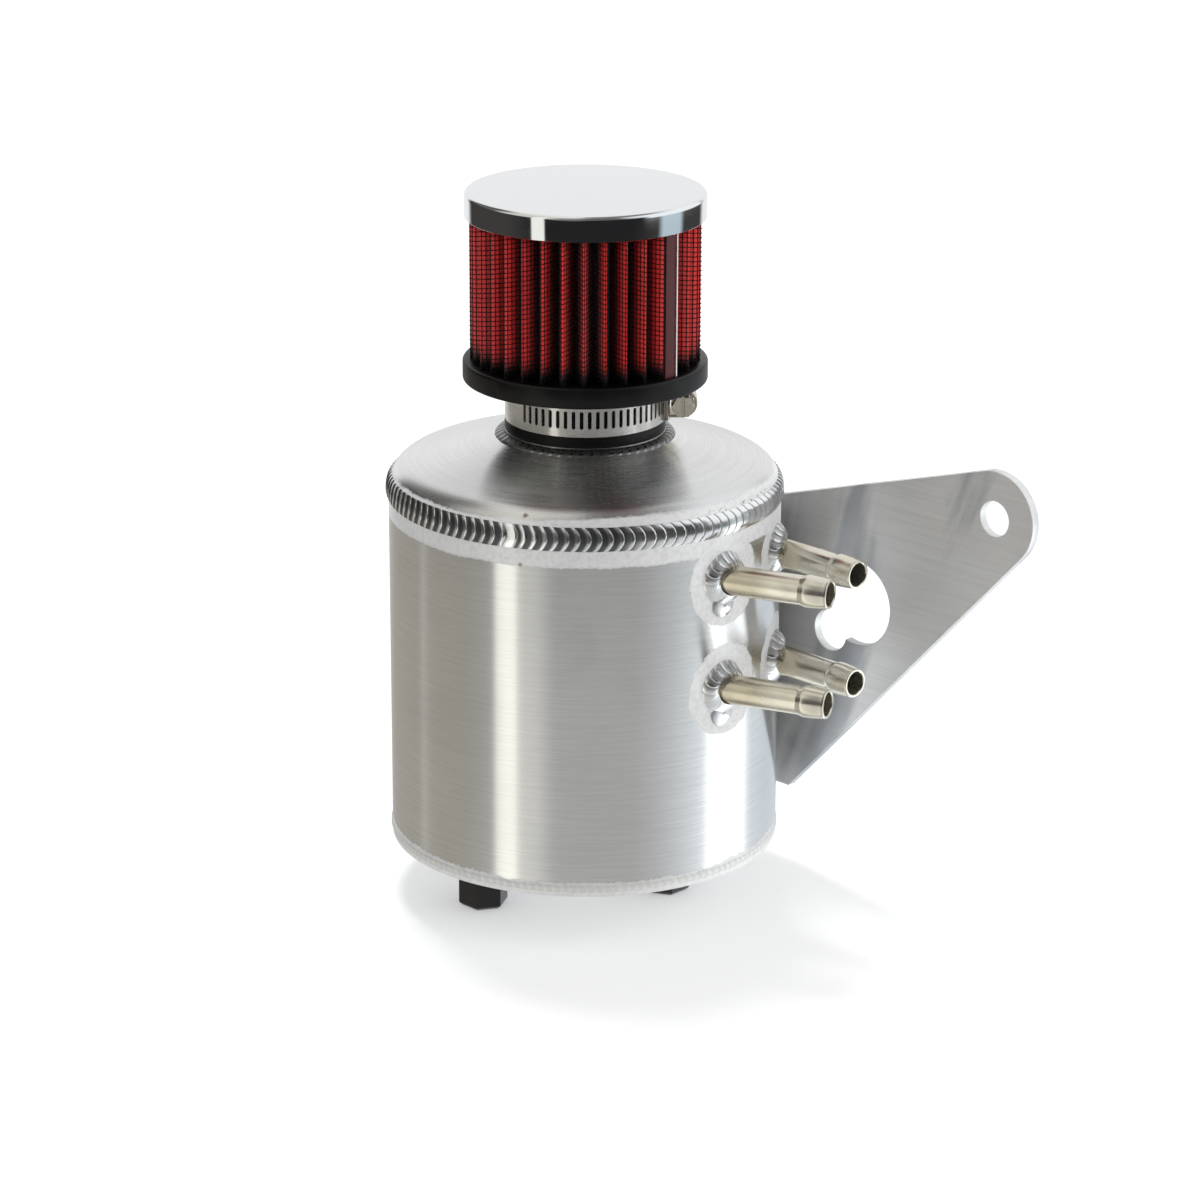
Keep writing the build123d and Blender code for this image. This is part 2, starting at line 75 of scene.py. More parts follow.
# %% Sizes read from the frame
body_low, body_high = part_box("can_body")
can_radius = body_high.x
seam_z = body_high.z
rim_z = body_low.z
media_low, media_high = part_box("filter_media")
cap_low, cap_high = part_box("filter_cap")
neck_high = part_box("vent_neck")[1]
band_low, band_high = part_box("clamp_band")
plate_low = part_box("mounting_bracket")[0]
floor_z = cad_low.z
BODY = "can"
TUBES = ["front_upper", "front_lower", "rear_upper", "rear_lower"]
print("can radius", round(can_radius / MM, 2), "mm, seam at", round(seam_z / MM, 2), "mm")

# %% [markdown]
# The photograph fixes the camera: the rims of the can and of the filter are circles, and their
# ellipses give the lens, the tilt and the distance. A camera built from those few numbers puts
# each edge of the model on the same pixel as in the photograph.

# %% Camera
IMAGE_WIDTH = 1200
FOCAL_PIXELS = 3983.49
SENSOR_WIDTH = 36.0
CAMERA_TILT = radians(18.5126)
CAMERA_ROLL = radians(0.2108)
CAMERA_TURN = radians(45.0)
CAMERA_DISTANCE = 1.30069
AIM_RIGHT = 0.004998
AIM_HEIGHT = 0.078232

camera_data = bpy.data.cameras.new("camera")
camera_data.sensor_width = SENSOR_WIDTH
camera_data.lens = FOCAL_PIXELS / IMAGE_WIDTH * SENSOR_WIDTH
camera_data.clip_start = 0.05
camera = bpy.data.objects.new("camera", camera_data)
scene.collection.objects.link(camera)
turn = Matrix.Rotation(CAMERA_TURN, 4, "Z")
backward = Vector((0, -cos(CAMERA_TILT), sin(CAMERA_TILT)))
aim = Vector((AIM_RIGHT, 0, AIM_HEIGHT))
camera.matrix_world = (
    Matrix.Translation(turn @ (aim + backward * CAMERA_DISTANCE))
    @ turn
    @ Matrix.Rotation(pi / 2 - CAMERA_TILT, 4, "X")
    @ Matrix.Rotation(CAMERA_ROLL, 4, "Z")
)
scene.camera = camera


def from_front(angle):
    """Angle round the can's axis of a spot at an angle from the camera's side."""
    return CAMERA_TURN - pi / 2 + angle


print("lens", round(camera_data.lens, 1), "mm at", CAMERA_DISTANCE, "m")

# %% [markdown]
# Both kinds of node tree, for shading and for geometry, are mostly arithmetic. Drawing that
# arithmetic node by node hides the idea, so a small class lets a formula be written as one:
# each operator adds one Math node and hands back its output.

# %% Formulas as nodes


def feed(tree, socket, value):
    """Link a formula, a socket or a plain value into a node's input."""
    if isinstance(value, Term):
        tree.links.new(value.socket, socket)
    elif isinstance(value, bpy.types.NodeSocket):
        tree.links.new(value, socket)
    else:
        socket.default_value = value


def node(tree, kind, inputs=None, **settings):
    """Add a node, set its options, then fill its inputs by name or number."""
    made = tree.nodes.new(kind)
    for option, value in settings.items():
        setattr(made, option, value)
    for key, value in (inputs or {}).items():
        feed(tree, made.inputs[key], value)
    return made


class Term:
    """A number that changes over a surface, with everyday arithmetic."""

    def __init__(self, tree, socket):
        self.tree = tree
        self.socket = socket

    def math(self, operation, *others):
        values = dict(enumerate((self, *others)))
        made = node(self.tree, "ShaderNodeMath", values, operation=operation)
        return Term(self.tree, made.outputs[0])

    def __add__(self, other):
        return self.math("ADD", other)

    def __sub__(self, other):
        return self.math("SUBTRACT", other)

    def __mul__(self, other):
        return self.math("MULTIPLY", other)

    def __truediv__(self, other):
        return self.math("DIVIDE", other)

    __radd__ = __add__
    __rmul__ = __mul__

    def __rsub__(self, other):
        return (self * -1.0) + other

    def between(self, low, high):
        """0 below low, 1 above high, and a smooth step between them."""
        ramp = node(
            self.tree, "ShaderNodeMapRange",
            {"Value": self, "From Min": low, "From Max": high},
            interpolation_type="SMOOTHSTEP",
        )
        return Term(self.tree, ramp.outputs["Result"])


def vector_math(tree, operation, first, second=None, scale=None):
    made = node(tree, "ShaderNodeVectorMath", {0: first}, operation=operation)
    if second is not None:
        feed(tree, made.inputs[1], second)
    if scale is not None:
        feed(tree, made.inputs["Scale"], scale)
    number = operation in {"LENGTH", "DISTANCE", "DOT_PRODUCT"}
    out = made.outputs["Value" if number else "Vector"]
    return Term(tree, out) if number else out


def noise(tree, place, scale, detail=0.0, roughness=0.5):
    """A smooth random value from 0 to 1; scale says how many spots there are to a metre."""
    made = node(
        tree, "ShaderNodeTexNoise",
        {"Vector": place, "Scale": scale, "Detail": detail, "Roughness": roughness},
    )
    return Term(tree, made.outputs[0])


def split(tree, vector):
    parts = node(tree, "ShaderNodeSeparateXYZ", {0: vector})
    return [Term(tree, parts.outputs[axis]) for axis in "XYZ"]


def join(tree, x, y, z):
    return node(tree, "ShaderNodeCombineXYZ", {0: x, 1: y, 2: z}).outputs[0]


def new_group(name, kind, inputs, outputs):
    """An empty node group; inputs and outputs are (name, type, default) and (name, type)."""
    tree = bpy.data.node_groups.new(name, kind)
    for label, socket_type, default in inputs:
        socket = tree.interface.new_socket(label, in_out="INPUT", socket_type=socket_type)
        if default is not None:
            socket.default_value = default
    for label, socket_type in outputs:
        tree.interface.new_socket(label, in_out="OUTPUT", socket_type=socket_type)
    return tree, tree.nodes.new("NodeGroupInput").outputs, tree.nodes.new("NodeGroupOutput")


print("formula helpers ready")

# %% [markdown]
# Brushed metal is a field of very long, very thin scratches. A noise whose space is squeezed
# along the can's axis gives exactly that: rings on the can, level lines on the bracket. Two
# sizes are mixed, a fine grain and broader streaks, and all the brushed pieces share the group.

# %% Shader group: grain
NUMBER = "NodeSocketFloat"
VECTOR = "NodeSocketVector"


def make_grain_group():
    tree, given, result = new_group(
        "grain", "ShaderNodeTree",
        [("Place", VECTOR, None), ("Lines", NUMBER, 2600.0), ("Streak", NUMBER, 45.0)],
        [("Height", NUMBER), ("Shade", NUMBER)],
    )
    x, y, z = split(tree, given["Place"])
    lines = Term(tree, given["Lines"])
    streak = Term(tree, given["Streak"])
    fine = noise(tree, join(tree, x * streak, y * streak, z * lines), 1.0, 3.0, 0.62)
    broad_place = join(tree, x * streak * 0.6, y * streak * 0.6, z * lines * 0.33)
    broad = noise(tree, broad_place, 1.0, 4.0, 0.7)
    feed(tree, result.inputs["Height"], fine * 0.7 + broad * 0.3)
    feed(tree, result.inputs["Shade"], fine * 0.5 + broad * 0.5)
    return tree


grain_group = make_grain_group()
print("grain group:", len(grain_group.nodes), "nodes")

# %% [markdown]
# Beside each weld the sheet was etched and wire-brushed, and it dried matt and white with a
# ragged edge. The mask only needs the distance to the weld: noise is added to that distance
# before it is cut off, so the edge wanders in long waves and frays in fine crumbs.

# %% Shader group: etched zone beside a weld
WANDER_SCALE = 48.0
FRAY_SCALE = 520.0


def make_etch_group():
    tree, given, result = new_group(
        "etched_zone", "ShaderNodeTree",
        [
            ("Place", VECTOR, None), ("Distance", NUMBER, 0.0), ("Reach", NUMBER, 0.005),
            ("Ragged", NUMBER, 0.003), ("Soft", NUMBER, 0.0004),
        ],
        [("Mask", NUMBER)],
    )
    wander = (noise(tree, given["Place"], WANDER_SCALE, 5.0, 0.6) - 0.5) * 2.0
    fray = (noise(tree, given["Place"], FRAY_SCALE, 4.0, 0.7) - 0.5) * 1.4
    distance = Term(tree, given["Distance"]) + (wander + fray) * given["Ragged"]
    reach = Term(tree, given["Reach"])
    edge = distance.between(reach - given["Soft"], reach + given["Soft"])
    feed(tree, result.inputs["Mask"], 1.0 - edge)
    return tree


etch_group = make_etch_group()
print("etch group:", len(etch_group.nodes), "nodes")

# %% [markdown]
# Handling leaves faint cloudy marks that show most where a surface mirrors something. They are one
# soft noise. It varies the roughness a little and the tone of the black pieces; on the dull
# bracket, stretched upright, the same noise also places clouds of painted reflection.

# %% Shader group: handling marks


def make_marks_group():
    tree, given, result = new_group(
        "handling_marks", "ShaderNodeTree",
        [("Place", VECTOR, None), ("Size", NUMBER, 40.0)],
        [("Value", NUMBER)],
    )
    cloud = node(
        tree, "ShaderNodeTexNoise",
        {"Vector": given["Place"], "Scale": given["Size"], "Detail": 4.0, "Distortion": 0.6},
    )
    value = Term(tree, cloud.outputs[0]).between(0.35, 0.7)
    feed(tree, result.inputs["Value"], value)
    return tree


marks_group = make_marks_group()
print("marks group:", len(marks_group.nodes), "nodes")

# %% [markdown]
# A material starts as a Principled shader with plain numbers on its own sockets. What changes
# over the surface is then linked in: colour, roughness and a bump.

# %% Material helpers
UP = (0.0, 0.0, 1.0)


def new_material(name, **sockets):
    """A material and its tree, shader and object place; plain socket values go straight on."""
    material = bpy.data.materials.new(name)
    material.use_nodes = True
    tree = material.node_tree
    shader = tree.nodes["Principled BSDF"]
    for label, value in sockets.items():
        shader.inputs[label.replace("_", " ")].default_value = value
    place = tree.nodes.new("ShaderNodeTexCoord").outputs["Object"]
    return material, tree, shader, place


def use(tree, group, **inputs):
    """Place a shared group and fill its inputs."""
    made = tree.nodes.new("ShaderNodeGroup")
    made.node_tree = group
    for label, value in inputs.items():
        feed(tree, made.inputs[label], value)
    return made.outputs


def blend_colours(tree, factor, first, second):
    mix = node(tree, "ShaderNodeMix", data_type="RGBA")
    feed(tree, mix.inputs["Factor"], factor)
    feed(tree, mix.inputs[6], first)
    feed(tree, mix.inputs[7], second)
    return mix.outputs[2]


def add_bump(tree, shader, height, distance, strength):
    """Let a height field, so many metres deep, tilt the shading."""
    bump = node(
        tree, "ShaderNodeBump", {"Height": height, "Strength": strength, "Distance": distance}
    )
    tree.links.new(bump.outputs[0], shader.inputs["Normal"])


def smear_upwards(tree, shader):
    """Point the anisotropy along the can's axis, across the brushing."""
    feed(tree, shader.inputs["Tangent"], join(tree, *UP))


def rgb(red, green, blue):
    return (red, green, blue, 1.0)


print("material helpers ready")

# %% [markdown]
# The sheet of the can was brushed round and round. Its mirror image of the room is smeared
# along the axis, across the scratches, and stays sharp round the can: that is what anisotropy
# does, with the axis as its direction. Where the mask says etched, the metal turns pale, matt
# and finely mottled. The dome was brushed in rings, so there the scratches follow its slope.
# The bracket is duller, with soft upright clouds where it dimly mirrors the room: a painted
# reflection, a dark blue-grey laid into its colour.

# %% Brushed sheet
SHEET = rgb(0.84, 0.84, 0.83)
SHEET_LOW = rgb(0.71, 0.71, 0.705)
PAINTED_REFLECTION_GREY = rgb(0.43, 0.445, 0.465)
SCORCH = rgb(0.16, 0.075, 0.03)
SOOT = rgb(0.05, 0.045, 0.04)
ETCHED = rgb(0.95, 0.95, 0.95)
ETCHED_LOW = rgb(0.83, 0.83, 0.83)
ETCHED_ROUGHNESS = 0.56
ETCHED_METALLIC = 0.35
MOTTLE_SCALE = 620.0
SHEET_BUMP = 0.02 * MM
CLOUD_SCALE = 34.0
CLOUD_LEAN = -0.35
CLOUD_STRETCH = 0.22


def from_axis(x, y):
    return (x * x + y * y).math("SQRT")


def etched_mask(tree, place, zones):
    """1 inside any of the zones; each is (distance, reach, ragged) and has a wandering edge."""
    mask = None
    for distance, reach, ragged in zones(tree, place):
        zone = use(
            tree, etch_group, Place=place, Distance=distance, Reach=reach, Ragged=ragged
        )
        zone_mask = Term(tree, zone["Mask"])
        mask = zone_mask if mask is None else mask.math("MAXIMUM", zone_mask)
    return mask


def brushed_sheet(name, lines, streak, roughness, anisotropy, zones, metallic=1.0, cloud=0.0,
                  stains=None, ringed=False):
    """Brushed metal; stains(tree, place) gives (amount, colour) of each dirty spot."""
    material, tree, shader, place = new_material(name, Anisotropic=anisotropy)
    x, y, z = split(tree, place)
    grain_place = join(tree, x, y, z - from_axis(x, y)) if ringed else place
    grain = use(tree, grain_group, Place=grain_place, Lines=lines, Streak=streak)
    marks = use(tree, marks_group, Place=place, Size=28.0)
    mask = etched_mask(tree, place, zones)
    shade = Term(tree, grain["Shade"])
    sheet = blend_colours(tree, shade.between(0.25, 0.75), SHEET_LOW, SHEET)
    # Painted reflection: upright clouds of dark blue-grey are laid into the sheet's colour, where
    # it would dimly mirror the room.
    if cloud:
        cloud_place = join(tree, x + z * CLOUD_LEAN, y, z * CLOUD_STRETCH)
        clouds = use(tree, marks_group, Place=cloud_place, Size=CLOUD_SCALE)
        patch = Term(tree, marks["Value"]) * 0.2 + Term(tree, clouds["Value"]) * 0.8
        sheet = blend_colours(tree, patch.between(0.22, 0.72) * cloud, sheet, PAINTED_REFLECTION_GREY)
    fleck = noise(tree, place, MOTTLE_SCALE, 6.0, 0.66).between(0.30, 0.62)
    etched = blend_colours(tree, fleck, ETCHED_LOW, ETCHED)
    colour = blend_colours(tree, mask, sheet, etched)
    if stains:
        for amount, tint in stains(tree, place):
            colour = blend_colours(tree, amount, colour, tint)
    feed(tree, shader.inputs["Base Color"], colour)
    rough = Term(tree, marks["Value"]) * 0.03 + shade * 0.10 + (roughness - 0.04)
    rough = rough + mask * (ETCHED_ROUGHNESS - roughness) + mask * fleck * 0.08
    feed(tree, shader.inputs["Roughness"], rough)
    feed(tree, shader.inputs["Metallic"], metallic - mask * (metallic - ETCHED_METALLIC))
    smear_upwards(tree, shader)
    height = Term(tree, grain["Height"]) * (1.0 - mask * 0.8) + fleck * mask * 0.7
    add_bump(tree, shader, height, SHEET_BUMP, 0.5)
    return material


print("brushed sheet is mottled at", MOTTLE_SCALE, "spots a metre where etched")

# %% [markdown]
# Each sheet says where it was etched: a distance, how far the zone reaches and how ragged its
# edge is. On the can those are the seam, the lower rim and the roots of the four tubes.

# %% Etched zones
SEAM_ZONE = (8.0 * MM, 1.1 * MM)
RIM_ZONE = (2.0 * MM, 2.4 * MM)
TUBE_ZONE = (14.9 * MM, 1.8 * MM)
NECK_ZONE = (28.4 * MM, 1.6 * MM)
BRACKET_ZONE = (70.0 * MM, 2.0 * MM)
PLATE_ZONE = (4.0 * MM, 3.0 * MM)
TUBE_ROOTS = {}
for tube in TUBES:
    weld_low, weld_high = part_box(f"hose_weld_{tube}")
    middle = (weld_low + weld_high) / 2
    root_x = (can_radius ** 2 - middle.y ** 2) ** 0.5
    TUBE_ROOTS[tube] = Vector((root_x, middle.y, middle.z))


def distance_to(tree, place, point):
    return vector_math(tree, "DISTANCE", place, tuple(point))


def can_zones(tree, place):
    x, y, z = split(tree, place)
    yield (z - seam_z).math("ABSOLUTE"), *SEAM_ZONE
    yield (z - rim_z).math("ABSOLUTE"), *RIM_ZONE
    for root in TUBE_ROOTS.values():
        yield distance_to(tree, place, root), *TUBE_ZONE


def dome_zones(tree, place):
    x, y, z = split(tree, place)
    wider_at_tubes = x.between(0.0, 58.0 * MM) * (1.6 * MM) + 5.8 * MM
    yield (z - seam_z).math("ABSOLUTE"), wider_at_tubes, 1.4 * MM
    yield from_axis(x, y), *NECK_ZONE


def bracket_zones(tree, place):
    yield distance_to(tree, place, (0.0, 0.0, seam_z)), *BRACKET_ZONE


def plate_zones(tree, place):
    x, y, z = split(tree, place)
    yield can_radius - from_axis(x, y), *PLATE_ZONE


print("tube roots:", [[round(v / MM, 1) for v in root] for root in TUBE_ROOTS.values()])

# %% [markdown]
# The welder's torch left two small brown scorches where the seam was closed, one above the bead
# and one below it, and a line of soot specks along the foot of the dome.

# %% Scorch and soot


def scorch(tree, place, angle, radius, height, size):
    """1 at a spot on the can, given by its angle from the camera's side, and 0 past its size."""
    turned = from_front(radians(angle))
    point = (radius * cos(turned), radius * sin(turned), height)
    distance = distance_to(tree, place, point) + noise(tree, place, 900.0, 3.0) * size
    return 1.0 - distance.between(size * 0.6, size * 1.5)


def can_stains(tree, place):
    yield scorch(tree, place, -18.2, can_radius, seam_z - 7.6 * MM, 1.1 * MM) * 0.7, SCORCH


def dome_stains(tree, place):
    spot = scorch(tree, place, -17.5, can_radius - 3.0 * MM, seam_z + 7.6 * MM, 1.3 * MM)
    yield spot * 0.8, SCORCH
    x, y, z = split(tree, place)
    above_bead = z.between(seam_z + 3.8 * MM, seam_z + 4.4 * MM)
    below_band = 1.0 - z.between(seam_z + 5.0 * MM, seam_z + 6.6 * MM)
    specks = noise(tree, place, 700.0, 5.0, 0.75).between(0.52, 0.60)
    patches = noise(tree, place, 42.0, 1.0).between(0.46, 0.56)
    yield specks * above_bead * below_band * patches, SOOT


body_material = brushed_sheet(
    "brushed_can", lines=3300.0, streak=60.0, roughness=0.205, anisotropy=1.0,
    zones=can_zones, stains=can_stains,
)
dome_material = brushed_sheet(
    "spun_dome", lines=1500.0, streak=26.0, roughness=0.25, anisotropy=0.92,
    zones=dome_zones, stains=dome_stains, ringed=True,
)
bracket_material = brushed_sheet(
    "brushed_bracket", lines=2400.0, streak=30.0, roughness=0.34, anisotropy=0.85,
    zones=bracket_zones, metallic=0.62, cloud=0.9,
)
bottom_material = brushed_sheet(
    "brushed_bottom", lines=2400.0, streak=60.0, roughness=0.40, anisotropy=0.30,
    zones=plate_zones,
)
print("brushed sheet:", body_material.name, dome_material.name, bracket_material.name)

# %% [markdown]
# Weld metal is bright where it froze smooth, and grey with oxide in the low places between its
# ripples; that grey is also painted shade for the shaded faces of the ripples, near black on the
# seam. The recipe that makes a bead stores how far each point lies below the crest, so the material
# can darken exactly those places.

# %% Weld metal
WELD_BUMP = 0.03 * MM


def make_weld_material(name, bright, grey, roughness, metallic=1.0, clean_side=False):
    """Weld metal with oxide and painted shade in its hollows; with clean_side it was brushed bright
    on the side of the tubes, where only a thin line of painted shade stays in each valley.
    """
    material, tree, shader, place = new_material(name, Metallic=metallic)
    valley = node(tree, "ShaderNodeAttribute", attribute_name="valley")
    depth = Term(tree, valley.outputs["Fac"])
    speckle = noise(tree, place, 600.0, 3.0)
    depth = depth + (speckle - 0.5) * 0.2
    # Oxide and painted shade: the valleys between the ripples are darkened in the colour.
    oxide_and_shade = depth.between(0.08, 0.55)
    if clean_side:
        x, y, z = split(tree, place)
        clean = x.between(can_radius * 0.80, can_radius * 0.95)
        # On the clean side only a thin line of painted shade stays at the bottom of each valley.
        oxide_and_shade = oxide_and_shade * (1.0 - clean) + depth.between(0.70, 0.95) * clean * 0.75
    feed(tree, shader.inputs["Base Color"], blend_colours(tree, oxide_and_shade, bright, grey))
    feed(tree, shader.inputs["Roughness"], oxide_and_shade * 0.25 + roughness)
    add_bump(tree, shader, speckle, WELD_BUMP, 0.35)
    return material


seam_material = make_weld_material(
    "seam_weld_metal", bright=rgb(0.92, 0.92, 0.92), grey=rgb(0.13, 0.135, 0.14),
    roughness=0.18, metallic=0.96, clean_side=True,
)
# Painted shade: the neck's weld metal is dark grey throughout, as it lies in the shade under the
# filter's rubber base.
neck_weld_material = make_weld_material(
    "neck_weld_metal", bright=rgb(0.30, 0.30, 0.30), grey=rgb(0.22, 0.22, 0.22), roughness=0.22
)
rim_material = make_weld_material(
    "rim_weld_metal", bright=rgb(0.84, 0.84, 0.83), grey=rgb(0.78, 0.78, 0.76),
    roughness=0.42, metallic=0.45,
)
hose_weld_material = make_weld_material(
    "hose_weld_metal", bright=rgb(0.90, 0.90, 0.90), grey=rgb(0.58, 0.58, 0.58), roughness=0.24
)
print("weld metal ready")

# %% [markdown]
# The hose tubes are plated: a smooth, slightly warm metal, browned where the welding heat ran up
# them. The neck is turned from plain bar, and duller; its darker grey is painted shade, for it lies
# under the filter's rubber base.

# %% Turned metal
TURNED_BUMP = 0.01 * MM
TUBE_METAL = rgb(0.77, 0.735, 0.63)
HEATED = rgb(0.60, 0.54, 0.42)


def turned_metal(name, colour, roughness, anisotropy=0.0, metallic=1.0):
    material, tree, shader, place = new_material(
        name, Metallic=metallic, Base_Color=colour, Anisotropic=anisotropy
    )
    if anisotropy:
        smear_upwards(tree, shader)
    marks = use(tree, marks_group, Place=place, Size=90.0)
    rough = Term(tree, marks["Value"]) * 0.10 + (roughness - 0.04)
    feed(tree, shader.inputs["Roughness"], rough)
    add_bump(tree, shader, noise(tree, place, 1500.0, 2.0), TURNED_BUMP, 0.3)
    return material


def tint_near_welds(material, plain, heated):
    """Colour the tubes brown where the welding heat ran up them."""
    tree = material.node_tree
    place = next(n for n in tree.nodes if n.type == "TEX_COORD").outputs["Object"]
    nearest = None
    for root in TUBE_ROOTS.values():
        distance = distance_to(tree, place, root)
        nearest = distance if nearest is None else nearest.math("MINIMUM", distance)
    cool = nearest.between(10.0 * MM, 19.0 * MM)
    shader = tree.nodes["Principled BSDF"]
    feed(tree, shader.inputs["Base Color"], blend_colours(tree, cool, heated, plain))


tube_material = turned_metal("plated_tube", TUBE_METAL, roughness=0.24, metallic=0.95)
tint_near_welds(tube_material, TUBE_METAL, HEATED)
# Painted shade: the neck's dark grey stands for the shade under the filter's rubber base.
neck_material = turned_metal("turned_neck", rgb(0.50, 0.50, 0.49), roughness=0.30)
screw_material = turned_metal(
    "plated_screw", rgb(0.78, 0.73, 0.62), roughness=0.22, metallic=0.95
)
housing_material = turned_metal(
    "stamped_housing", rgb(0.66, 0.60, 0.48), roughness=0.30, metallic=0.85
)
band_material = turned_metal(
    "stainless_band", rgb(0.82, 0.80, 0.76), roughness=0.30, anisotropy=0.95, metallic=0.84
)
hidden_metal = turned_metal("plain_sheet", rgb(0.75, 0.75, 0.74), roughness=0.42)
print("turned metal ready")

# %% [markdown]
# Chrome is a nearly perfect mirror. Only the faint polishing haze keeps it from looking drawn
# by a computer, so its roughness drifts between two small values.

# %% Chrome


def make_chrome():
    material, tree, shader, place = new_material(
        "chrome", Metallic=1.0, Base_Color=rgb(0.86, 0.87, 0.88)
    )
    marks = use(tree, marks_group, Place=place, Size=60.0)
    feed(tree, shader.inputs["Roughness"], Term(tree, marks["Value"]) * 0.05 + 0.035)
    return material


chrome_material = make_chrome()
print("chrome ready")

# %% [markdown]
# Moulded rubber is black, satin and slightly uneven. Black anodised aluminium is as dark but
# crisper, with a finer grain. One function makes both, with other numbers.

# %% Rubber and anodised black


def dark_solid(name, colour, roughness, metallic, grain_size, grain_height, shine=0.5):
    """A dull solid whose handled places are a little paler and rougher."""
    material, tree, shader, place = new_material(
        name, Metallic=metallic, Specular_IOR_Level=shine
    )
    marks = use(tree, marks_group, Place=place, Size=55.0)
    value = Term(tree, marks["Value"])
    worn = tuple(min(1.0, c * 1.5 + 0.002) for c in colour[:3]) + (1.0,)
    feed(tree, shader.inputs["Base Color"], blend_colours(tree, value, colour, worn))
    feed(tree, shader.inputs["Roughness"], value * 0.12 + roughness)
    add_bump(tree, shader, noise(tree, place, grain_size, 3.0), grain_height, 0.5)
    return material


rubber_material = dark_solid(
    "moulded_rubber", rgb(0.003, 0.0025, 0.0025), roughness=0.34, metallic=0.0,
    grain_size=700.0, grain_height=0.03 * MM, shine=0.26,
)
anodised_material = dark_solid(
    "black_anodised", rgb(0.010, 0.009, 0.009), roughness=0.30, metallic=0.2,
    grain_size=1400.0, grain_height=0.01 * MM,
)
wire_material = dark_solid(
    "black_wire", rgb(0.008, 0.008, 0.009), roughness=0.32, metallic=0.3,
    grain_size=1500.0, grain_height=0.01 * MM,
)
print("black materials ready")

# %% [markdown]
# The filter medium is cotton gauze wetted with red oil. On the crests it is red; deep in the folds
# painted shade darkens it nearly to black, and the oil gives it a soft wet sheen. The fold recipe
# stores how deep each point lies for that painted shade, and the lower end of the folds is darker
# where the rubber's glue soaked in.

# %% Oiled cotton
WEAVE_SCALE = 2200.0
WEAVE_BUMP = 0.06 * MM
RED_CREST = rgb(0.86, 0.040, 0.036)
PAINTED_FOLD_SHADE = rgb(0.045, 0.002, 0.003)
OIL_STAIN = rgb(0.30, 0.008, 0.010)
GLUE = rgb(0.012, 0.004, 0.004)


def make_cotton():
    material, tree, shader, place = new_material(
        "oiled_cotton", Metallic=0.0, Coat_Weight=0.25, Coat_Roughness=0.25
    )
    depth = Term(tree, node(tree, "ShaderNodeAttribute", attribute_name="depth").outputs["Fac"])
    x, y, z = split(tree, place)
    clear_of_glue = z.between(media_low.z + 1.5 * MM, media_low.z + 8.5 * MM)
    weave = noise(tree, place, WEAVE_SCALE, 2.0)
    stain = noise(tree, place, 60.0, 3.0) * 0.25
    # Painted shade: the red darkens to nearly black with depth in the fold.
    red = blend_colours(tree, depth.between(0.10, 0.72), RED_CREST, PAINTED_FOLD_SHADE)
    stained = blend_colours(tree, stain, red, OIL_STAIN)
    colour = blend_colours(tree, clear_of_glue, GLUE, stained)
    feed(tree, shader.inputs["Base Color"], colour)
    feed(tree, shader.inputs["Roughness"], weave * 0.3 + 0.42)
    add_bump(tree, shader, weave, WEAVE_BUMP, 0.6)
    return material


cotton_material = make_cotton()
lap_material = dark_solid(
    "glued_lap", rgb(0.055, 0.004, 0.005), roughness=0.45, metallic=0.0,
    grain_size=900.0, grain_height=0.03 * MM,
)
print("cotton ready")

# %% [markdown]
# Pieces that sit inside the can are never seen whole, but each still gets the surface of its
# material, in case the model is opened: a steel-wool pad, red potting, plain sheet.

# %% Hidden materials
pad_material = dark_solid(
    "wire_wool", rgb(0.30, 0.30, 0.31), roughness=0.45, metallic=0.8,
    grain_size=900.0, grain_height=0.4 * MM,
)
potting_material = dark_solid(
    "potting", rgb(0.25, 0.03, 0.03), roughness=0.5, metallic=0.0,
    grain_size=500.0, grain_height=0.05 * MM,
)
print("hidden materials ready")

# %% [markdown]
# A finished piece is linked, shaded smooth with crisp edges and tied to the body that carries it,
# and the imported piece it stands for is hidden.

# %% Piece helpers
SHARP_ANGLE = radians(32)
EASED_ANGLE = radians(40)
FLAT_ANGLE = radians(0.6)
WELD_DISTANCE = 0.002 * MM


def smooth(mesh, angle=SHARP_ANGLE):
    mesh.shade_smooth()
    mesh.set_sharp_from_angle(angle=angle)


def finish_piece(piece, material, stands_for, body=BODY):
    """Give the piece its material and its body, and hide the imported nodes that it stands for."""
    if piece.name not in scene.collection.objects:
        scene.collection.objects.link(piece)
    piece.data.materials.clear()
    piece.data.materials.append(material)
    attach(piece, body)
    if stands_for:
        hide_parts(*stands_for)
    return piece


def fair_copy(name, source, material, body=BODY, bevel=0.0):
    """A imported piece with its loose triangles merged, flat faces joined and edges eased."""
    mesh = frame["nodes"][source].data.copy()
    mesh.name = name
    work = bmesh.new()
    work.from_mesh(mesh)
    bmesh.ops.remove_doubles(work, verts=work.verts, dist=WELD_DISTANCE)
    if bevel:
        bmesh.ops.dissolve_limit(
            work, angle_limit=FLAT_ANGLE, verts=work.verts, edges=work.edges
        )
    work.to_mesh(mesh)
    work.free()
    smooth(mesh)
    piece = bpy.data.objects.new(name, mesh)
    scene.collection.objects.link(piece)
    if bevel:
        ease = piece.modifiers.new("eased edges", "BEVEL")
        ease.width = bevel
        ease.segments = 2
        ease.limit_method = "ANGLE"
        ease.angle_limit = EASED_ANGLE
        ease.harden_normals = True
    return finish_piece(piece, material, [source], body)


